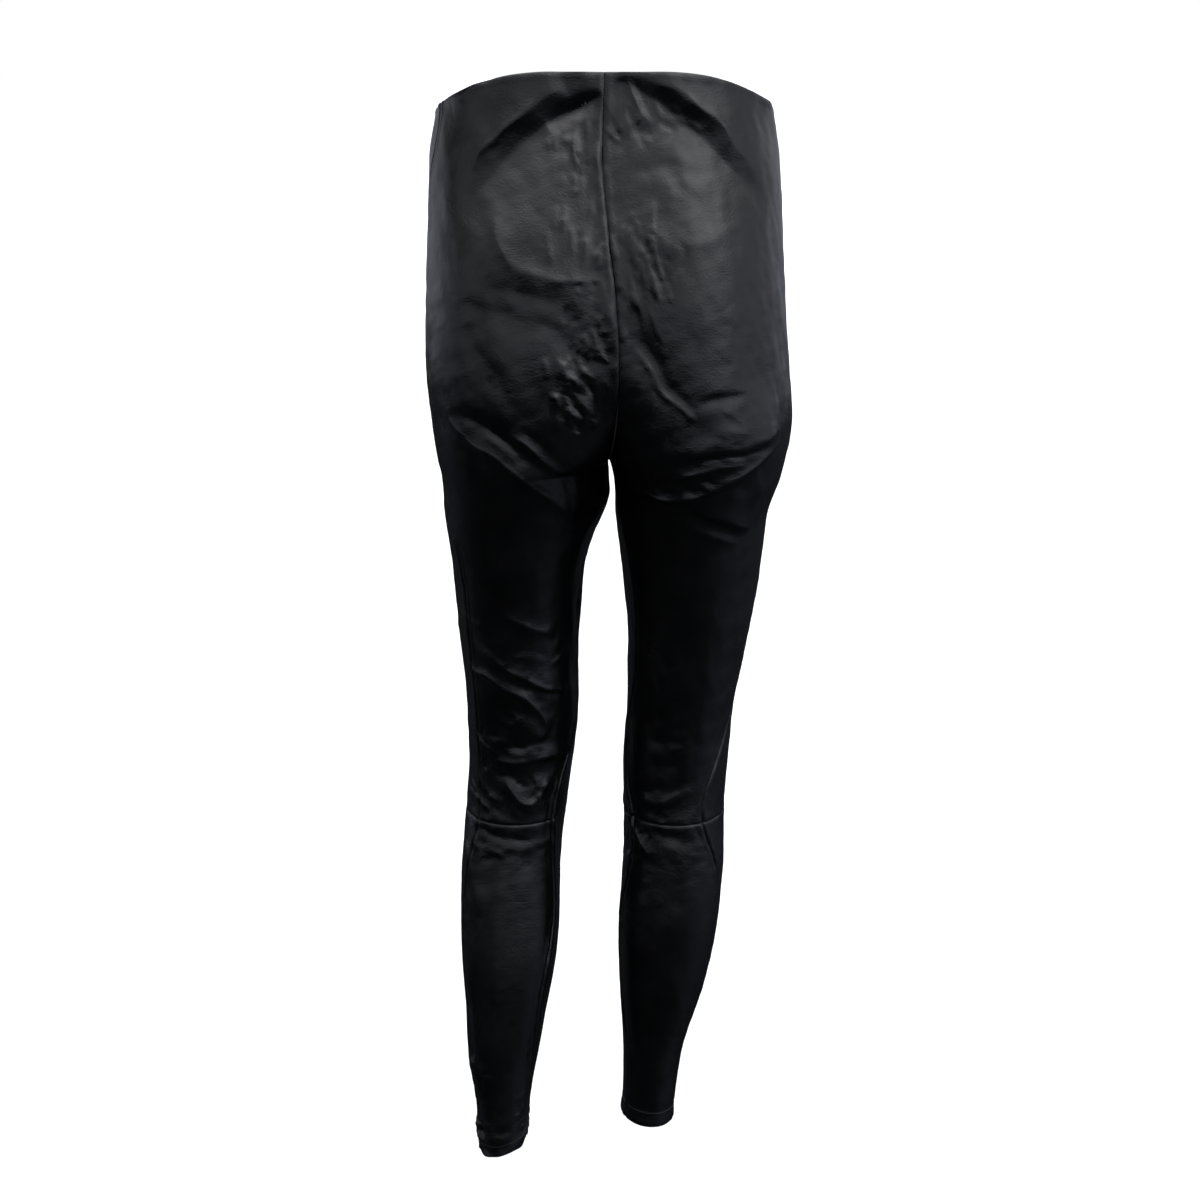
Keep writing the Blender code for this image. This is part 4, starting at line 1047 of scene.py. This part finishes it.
# ---------------------------------------------------------------------------------------------
# Materials
# ---------------------------------------------------------------------------------------------
class Nodes:
    """Short calls that add the nodes of a shader tree.  Inputs take sockets or values."""

    def __init__(self, tree):
        self.tree = tree

    def feed(self, socket, source):
        """Link a socket to another one, or give it a value."""
        if isinstance(source, bpy.types.NodeSocket):
            self.tree.links.new(source, socket)
        else:
            socket.default_value = source

    def add(self, kind, inputs=None, **settings):
        """A node with its settings and inputs."""
        node = self.tree.nodes.new(kind)
        for key, value in settings.items():
            setattr(node, key, value)
        for key, source in (inputs or {}).items():
            self.feed(node.inputs[key], source)
        return node

    def maths(self, operation, *sources):
        """The output of a math node."""
        node = self.add("ShaderNodeMath", dict(enumerate(sources)), operation=operation)
        return node.outputs["Value"]

    def ranged(self, source, low, high, at_low, at_high, soft=False):
        """A map range node's result: at_low where the source is low, at_high where it is high."""
        node = self.add("ShaderNodeMapRange",
                        {"Value": source, "From Min": low, "From Max": high,
                         "To Min": at_low, "To Max": at_high},
                        interpolation_type="SMOOTHSTEP" if soft else "LINEAR")
        return node.outputs["Result"]


class Finish(Nodes):
    """A new material, with short calls for what it is made of."""

    def __init__(self, name):
        self.material = bpy.data.materials.new(name)
        self.material.use_nodes = True
        super().__init__(self.material.node_tree)
        self.place = self.add("ShaderNodeTexCoord").outputs["Object"]

    def noise(self, scale, detail, roughness):
        """A cloudy pattern."""
        node = self.add("ShaderNodeTexNoise", {"Vector": self.place, "Scale": scale,
                                               "Detail": detail, "Roughness": roughness})
        return node.outputs["Fac"]

    def bump(self, strength, distance, height, under=None):
        """Relief in the shading, on top of the relief under it."""
        inputs = {"Strength": strength, "Distance": distance, "Height": height}
        if under:
            inputs["Normal"] = under
        return self.add("ShaderNodeBump", inputs).outputs["Normal"]

    def between(self, factor, dark, light):
        """A colour between two."""
        node = self.add("ShaderNodeMix", {"Factor": factor, "A": (*dark, 1.0), "B": (*light, 1.0)},
                        data_type="RGBA")
        return node.outputs["Result"]

    def done(self, **inputs):
        """Feed the Principled shader's inputs, and return the material."""
        shader = self.tree.nodes["Principled BSDF"]
        for key, source in inputs.items():
            self.feed(shader.inputs[SHADER_INPUTS[key]], source)
        return self.material


SHADER_INPUTS = {"colour": "Base Color", "roughness": "Roughness", "normal": "Normal",
                 "specular": "Specular IOR Level"}


def leather_material(settings):
    """Soft black lambskin: near-black, with a fine pebbled grain and a broken soft shine."""
    skin = Finish("lambskin")
    crease = skin.add("ShaderNodeAttribute", attribute_name="crease").outputs["Fac"]
    cloud = skin.noise(26.0, 4.0, 0.6)
    soft = skin.noise(130.0, 3.0, 0.55)
    pores = skin.noise(2.4 / settings.grain_size, 3.0, 0.65)
    grain = skin.add("ShaderNodeTexVoronoi",
                     {"Vector": skin.place, "Scale": 1.0 / settings.grain_size,
                      "Randomness": 1.0, "Smoothness": 0.6},
                     feature="SMOOTH_F1").outputs["Distance"]
    tone = skin.ranged(cloud, 0.35, 0.7, 0.0, 1.0)
    rough = skin.ranged(cloud, 0.3, 0.7, settings.roughness - 0.05, settings.roughness + 0.07)
    worn = skin.ranged(crease, 0.0, 4.0, 0.0, 0.07)
    wide = skin.bump(0.4, 0.0004, soft)
    fine = skin.bump(settings.grain_strength, settings.grain_depth, grain, wide)
    return skin.done(colour=skin.between(tone, settings.dark_colour, settings.light_colour),
                     roughness=skin.maths("SUBTRACT", rough, worn),
                     normal=skin.bump(0.4, 0.00004, pores, fine), specular=0.5)


def flesh_material():
    """The leather's flesh side: matt black suede with a short uneven nap."""
    flesh = Finish("lambskin_inside")
    nap = flesh.noise(420.0, 4.0, 0.7)
    brushed = flesh.noise(22.0, 3.0, 0.5)
    tone = flesh.ranged(flesh.maths("MULTIPLY_ADD", brushed, 0.6, nap), 0.5, 1.1, 0.0, 1.0)
    return flesh.done(colour=flesh.between(tone, (0.006, 0.006, 0.0065), (0.020, 0.019, 0.019)),
                      roughness=0.92, normal=flesh.bump(0.6, 0.0004, nap), specular=0.15)


def thread_material():
    """Waxed black sewing thread, with its twist as fine diagonal ribs."""
    thread = Finish("waxed_thread")
    twist = thread.add("ShaderNodeTexWave", {"Vector": thread.place, "Scale": 900.0,
                                             "Distortion": 1.5, "Detail": 1.0},
                       bands_direction="DIAGONAL").outputs["Fac"]
    return thread.done(colour=thread.between(twist, (0.004, 0.004, 0.005), (0.012, 0.012, 0.014)),
                       roughness=0.5, normal=thread.bump(0.7, 0.00012, twist))


def floor_material():
    """A plain pale studio floor, with a faint mottle."""
    floor = Finish("studio_floor")
    mottle = floor.noise(2.0, 2.0, 0.5)
    return floor.done(colour=floor.between(mottle, (0.88, 0.88, 0.88), (0.92, 0.92, 0.92)),
                      roughness=0.9)


def material_named(name, make):
    """The material of that name, made the first time that it is asked for."""
    return bpy.data.materials.get(name) or make()


# ---------------------------------------------------------------------------------------------
# Settings
# ---------------------------------------------------------------------------------------------
class TrousersLeather(bpy.types.PropertyGroup):
    wall: bpy.props.FloatProperty(
        name="Wall", description="Thickness of one layer of leather",
        default=0.0013, min=0.0005, max=0.004, unit="LENGTH")
    turned_wall: bpy.props.FloatProperty(
        name="Turned wall", description="Thickness where an edge is turned in",
        default=0.0026, min=0.001, max=0.006, unit="LENGTH")
    turned_depth: bpy.props.FloatProperty(
        name="Turned depth", description="How deep the edges are turned in",
        default=0.018, min=0.0, max=0.04, unit="LENGTH")
    crease_strength: bpy.props.FloatProperty(
        name="Creases", description="How strongly the leather is creased",
        default=1.0, min=0.0, max=1.5)
    grain_size: bpy.props.FloatProperty(
        name="Grain size", description="Size of a pebble of the grain",
        default=0.0013, min=0.0003, max=0.005, unit="LENGTH")
    grain_depth: bpy.props.FloatProperty(
        name="Grain depth", description="Depth between the pebbles",
        default=0.00022, min=0.0, max=0.001, unit="LENGTH")
    grain_strength: bpy.props.FloatProperty(
        name="Grain strength", description="How much the grain shows",
        default=1.0, min=0.0, max=1.0)
    roughness: bpy.props.FloatProperty(
        name="Roughness", description="Dullness of the finish",
        default=0.21, min=0.05, max=1.0)
    dark_colour: bpy.props.FloatVectorProperty(
        name="Dark colour", description="Dye in the darker parts",
        default=(0.0005, 0.00055, 0.0007), size=3, subtype="COLOR")
    light_colour: bpy.props.FloatVectorProperty(
        name="Light colour", description="Dye in the lighter parts",
        default=(0.0010, 0.0011, 0.0013), size=3, subtype="COLOR")


class TrousersStitches(bpy.types.PropertyGroup):
    pitch: bpy.props.FloatProperty(
        name="Pitch", description="Length of a stitch with its gap",
        default=0.0031, min=0.001, max=0.01, unit="LENGTH")
    thread: bpy.props.FloatProperty(
        name="Thread", description="Thickness of the thread",
        default=0.0005, min=0.0002, max=0.002, unit="LENGTH")


class TrousersStudio(bpy.types.PropertyGroup):
    floor_level: bpy.props.FloatProperty(
        name="Floor level", description="Height of the floor",
        default=-1.165, unit="LENGTH")
    sky: bpy.props.FloatProperty(
        name="Soft light", description="Strength of the light all round",
        default=1.0, min=0.0, max=5.0)
    lamps: bpy.props.FloatProperty(
        name="Soft boxes", description="Strength of the soft boxes",
        default=1.0, min=0.0, max=5.0)


# ---------------------------------------------------------------------------------------------
# Operators
# ---------------------------------------------------------------------------------------------
def dress(face, settings):
    """Make the four panels of one face with the hem stitches of the lower ones, and hide the
    solids that they stand in for.
    """
    outside = material_named("lambskin", lambda: leather_material(settings))
    inside = material_named("lambskin_inside", flesh_material)
    for half in (LEFT, RIGHT):
        for part in ("upper", "lower"):
            panel, stitches, flat, area = leather_panel(half, face, part, settings)
            panel.data.materials.append(outside)
            panel.data.materials.append(inside)
            node = f"{face}_{half.name}_{part}"
            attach(panel, "root")
            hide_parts(node)
            if part == "lower":
                stitches.data.materials.append(material_named("waxed_thread", thread_material))
                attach(stitches, "root")


class TROUSERS_OT_back_panels(bpy.types.Operator):
    """Make the back panels, above and below the knee seams."""
    bl_idname = "trousers.back_panels"
    bl_label = "Back panels"

    def execute(self, context):
        dress("back", context.scene.trousers_leather)
        return {"FINISHED"}


class TROUSERS_OT_front_panels(bpy.types.Operator):
    """Make the front panels, above and below the knee seams."""
    bl_idname = "trousers.front_panels"
    bl_label = "Front panels"

    def execute(self, context):
        dress("front", context.scene.trousers_leather)
        return {"FINISHED"}


class TROUSERS_OT_studio(bpy.types.Operator):
    """Make the floor, the soft light and the camera."""
    bl_idname = "trousers.studio"
    bl_label = "Studio"

    def execute(self, context):
        studio = context.scene.trousers_studio
        make_floor(studio)
        make_light(studio)
        make_camera()
        return {"FINISHED"}


FLOOR_REACH = 60.0
FLOOR_STOPS = 9


def make_floor(studio):
    """A square floor, built as a grid, well below the hems."""
    side = np.linspace(-FLOOR_REACH, FLOOR_REACH, FLOOR_STOPS)
    x, y = np.meshgrid(side, side, indexing="ij")
    points = np.stack([x, y, np.full_like(x, studio.floor_level)], axis=-1).reshape(-1, 3)
    mesh = bpy.data.meshes.new("studio_floor")
    mesh.from_pydata(points, [], grid_faces(np.arange(x.size).reshape(x.shape)).tolist())
    mesh.materials.append(material_named("studio_floor", floor_material))
    floor = linked("studio_floor", mesh)
    floor.visible_glossy = False


# Brightness of the surroundings by elevation in degrees, before the sides are weighed
Sky = namedtuple("Sky", "elevation value tint")
SKY = table(
    Sky,
    (-90, 0.012, (0.85, 1.00, 1.25)),
    (-40, 0.012, (0.85, 1.00, 1.25)),
    (-28, 0.014, (0.85, 1.00, 1.25)),
    (-20, 0.024, (0.85, 1.00, 1.25)),
    (-14, 0.030, (0.88, 1.00, 1.22)),
    (-9.2, 0.034, (0.90, 1.00, 1.20)),
    (-7.5, 0.065, (0.90, 1.00, 1.20)),
    (-6.2, 0.38, (0.92, 1.00, 1.16)),
    (-5.0, 0.62, (0.92, 1.00, 1.16)),
    (-2, 0.74, (0.94, 1.00, 1.14)),
    (4, 0.80, (0.97, 1.00, 1.10)),
    (12, 0.72, (0.97, 1.00, 1.10)),
    (20, 0.66, (0.98, 1.00, 1.08)),
    (28, 0.95, (0.98, 1.00, 1.08)),
    (38, 1.80, (0.98, 1.00, 1.06)),
    (52, 2.90, (1.00, 1.00, 1.03)),
    (90, 3.40, (1.00, 1.00, 1.03)),
)
SKY_PEAK = 3.6
# Weight of the surroundings from the wearer's right (-1) to the left (1), low down and high up
Side = namedtuple("Side", "across low high")
SIDES = table(
    Side,
    (-1.00, 10.0, 1.05),
    (-0.85, 7.50, 1.05),
    (-0.65, 3.60, 1.08),
    (-0.40, 2.20, 1.05),
    (0.00, 1.30, 0.92),
    (0.50, 0.75, 0.84),
    (0.90, 0.60, 0.72),
    (1.00, 0.70, 0.66),
)
SIDES_PEAK = 10.0
AHEAD = 0.46                 # weight of what lies in front of the wearer

# Patches of the surroundings that are darker (strength below 0) or brighter.  The bearing is
# from straight behind, above 0 towards the wearer's left; a mirrored one is ahead as well.
Lobe = namedtuple("Lobe", "bearing elevation core reach strength mirrored")
LOBES = table(
    Lobe,
    (47, 4, 0.10, 0.32, -0.45, False),
    (106, 20, 0.16, 0.38, -0.90, False),
    (128, -26, 0.04, 0.62, 4.50, False),
    (38, 21, 0.03, 0.19, 0.80, True),
    (-44, 24, 0.10, 0.58, 0.75, True),
)
FADE_UP = (-0.17, -0.10)     # heights between which the weights low down turn to those high up
FADE_AHEAD = (-0.75, 0.25)

Lamp = namedtuple("Lamp", "name place aim size watts")
LAMPS = table(
    Lamp,
    ("box_behind", (-1.60, 2.45, 1.20), (0.0, 0.0, -0.15), (2.2, 1.4), 4.5),
    ("box_ahead", (-1.60, -2.45, 1.20), (0.0, 0.0, -0.15), (2.2, 1.4), 4.5),
)


def make_light(studio):
    """Pale surroundings for the camera, and for the leather a sky that is bright high up."""
    scene = bpy.context.scene
    scene.view_settings.view_transform = "Standard"
    world = bpy.data.worlds.new("studio_light")
    world.use_nodes = True
    scene.world = world
    world.node_tree.nodes.clear()
    sky = Nodes(world.node_tree)
    direction = sky.add("ShaderNodeTexCoord").outputs["Generated"]
    split = sky.add("ShaderNodeSeparateXYZ", {0: direction})
    across, ahead, up = (split.outputs[axis] for axis in "XYZ")

    def ramp(source, rows):
        """A colour ramp over a direction from -1 to 1, with a stop for each place and colour."""
        node = sky.add("ShaderNodeValToRGB", {"Fac": sky.ranged(source, -1.0, 1.0, 0.0, 1.0)})
        stops = node.color_ramp.elements
        last = len(rows) - 1
        for index, (place, colour) in enumerate(rows):
            position = 0.5 * (1.0 + place)
            stop = stops[0] if index == 0 else stops[-1] if index == last else stops.new(position)
            stop.position = position
            stop.color = (*colour, 1.0)
        return node.outputs["Color"]

    def weights(column):
        """The sides' weights low down or high up, as a ramp."""
        return ramp(across, [(row.across, [getattr(row, column) / SIDES_PEAK] * 3)
                             for row in SIDES])

    glowing = ramp(up, [(math.sin(math.radians(row.elevation)),
                         np.array(row.tint) * row.value / SKY_PEAK) for row in SKY])
    side = sky.add("ShaderNodeMix", {"Factor": sky.ranged(up, *FADE_UP, 0.0, 1.0),
                                     "A": weights("low"), "B": weights("high")})
    weight = sky.maths("MULTIPLY", side.outputs["Result"], SIDES_PEAK)
    weight = sky.maths("MULTIPLY", weight, sky.ranged(ahead, *FADE_AHEAD, AHEAD, 1.0, soft=True))
    one_way, both_ways = (
        sky.add("ShaderNodeCombineXYZ", {"X": across, "Y": depth, "Z": up}).outputs["Vector"]
        for depth in (ahead, sky.maths("ABSOLUTE", ahead)))
    for lobe in LOBES:
        bearing, elevation = math.radians(lobe.bearing), math.radians(lobe.elevation)
        towards = (math.sin(bearing) * math.cos(elevation),
                   math.cos(bearing) * math.cos(elevation), math.sin(elevation))
        gap = sky.add("ShaderNodeVectorMath", {0: both_ways if lobe.mirrored else one_way,
                                               1: towards}, operation="DISTANCE")
        inside = sky.ranged(gap.outputs["Value"], lobe.core, lobe.reach, 1.0 + lobe.strength, 1.0,
                            soft=True)
        weight = sky.maths("MULTIPLY", weight, inside)

    strength = sky.maths("MULTIPLY", weight, SKY_PEAK * studio.sky)
    glow = sky.add("ShaderNodeBackground", {"Color": glowing, "Strength": strength})
    plain = sky.add("ShaderNodeBackground", {"Color": (1.0, 1.0, 1.0, 1.0)})
    seen = sky.add("ShaderNodeLightPath").outputs["Is Camera Ray"]
    choose = sky.add("ShaderNodeMixShader", {"Fac": seen, 1: glow.outputs["Background"],
                                             2: plain.outputs["Background"]})
    sky.add("ShaderNodeOutputWorld", {"Surface": choose.outputs["Shader"]})

    for lamp in LAMPS:
        light = bpy.data.lights.new(lamp.name, "AREA")
        light.shape = "RECTANGLE"
        light.size, light.size_y = lamp.size
        light.energy = lamp.watts * studio.lamps
        box = linked(lamp.name, light)
        forward = unit(np.array(lamp.aim) - np.array(lamp.place))
        box.location = lamp.place
        box.rotation_euler = (math.acos(-forward[2]), 0.0, math.atan2(-forward[0], forward[1]))


CAMERA_PLACE = (0.0078, 2.27, 0.073)
CAMERA_TILT = 76.0           # from straight down
CAMERA_LENS = 68.55          # mm, on a sensor of 36 mm


def make_camera():
    """The camera behind the wearer, a little above the waist and tilted down."""
    camera = bpy.data.cameras.new("camera")
    camera.sensor_width = 36.0
    camera.lens = CAMERA_LENS
    camera.clip_start, camera.clip_end = 0.05, 100.0
    stand = linked("camera", camera)
    stand.location = CAMERA_PLACE
    stand.rotation_euler = (math.radians(CAMERA_TILT), 0.0, math.radians(180.0))
    bpy.context.scene.camera = stand


class TROUSERS_PT_panel(bpy.types.Panel):
    """Sizes, colours and steps of the trousers."""
    bl_idname = "TROUSERS_PT_panel"
    bl_label = "Leather Trousers"
    bl_space_type = "VIEW_3D"
    bl_region_type = "UI"
    bl_category = "Trousers"

    def draw(self, context):
        scene = context.scene
        for group in (scene.trousers_leather, scene.trousers_stitches, scene.trousers_studio):
            box = self.layout.box()
            for name in group.__annotations__:
                box.prop(group, name)
        for operator in OPERATORS:
            self.layout.operator(operator.bl_idname)


OPERATORS = (TROUSERS_OT_back_panels, TROUSERS_OT_front_panels, TROUSERS_OT_studio)
CLASSES = (TrousersLeather, TrousersStitches, TrousersStudio, *OPERATORS, TROUSERS_PT_panel)


def register():
    for cls in CLASSES:
        bpy.utils.register_class(cls)
    bpy.types.Scene.trousers_leather = bpy.props.PointerProperty(type=TrousersLeather)
    bpy.types.Scene.trousers_stitches = bpy.props.PointerProperty(type=TrousersStitches)
    bpy.types.Scene.trousers_studio = bpy.props.PointerProperty(type=TrousersStudio)


def unregister():
    del bpy.types.Scene.trousers_leather
    del bpy.types.Scene.trousers_stitches
    del bpy.types.Scene.trousers_studio
    for cls in reversed(CLASSES):
        bpy.utils.unregister_class(cls)


def main():
    register()
    bpy.ops.trousers.back_panels()
    bpy.ops.trousers.front_panels()
    bpy.ops.trousers.studio()


if __name__ == "__main__":
    main()
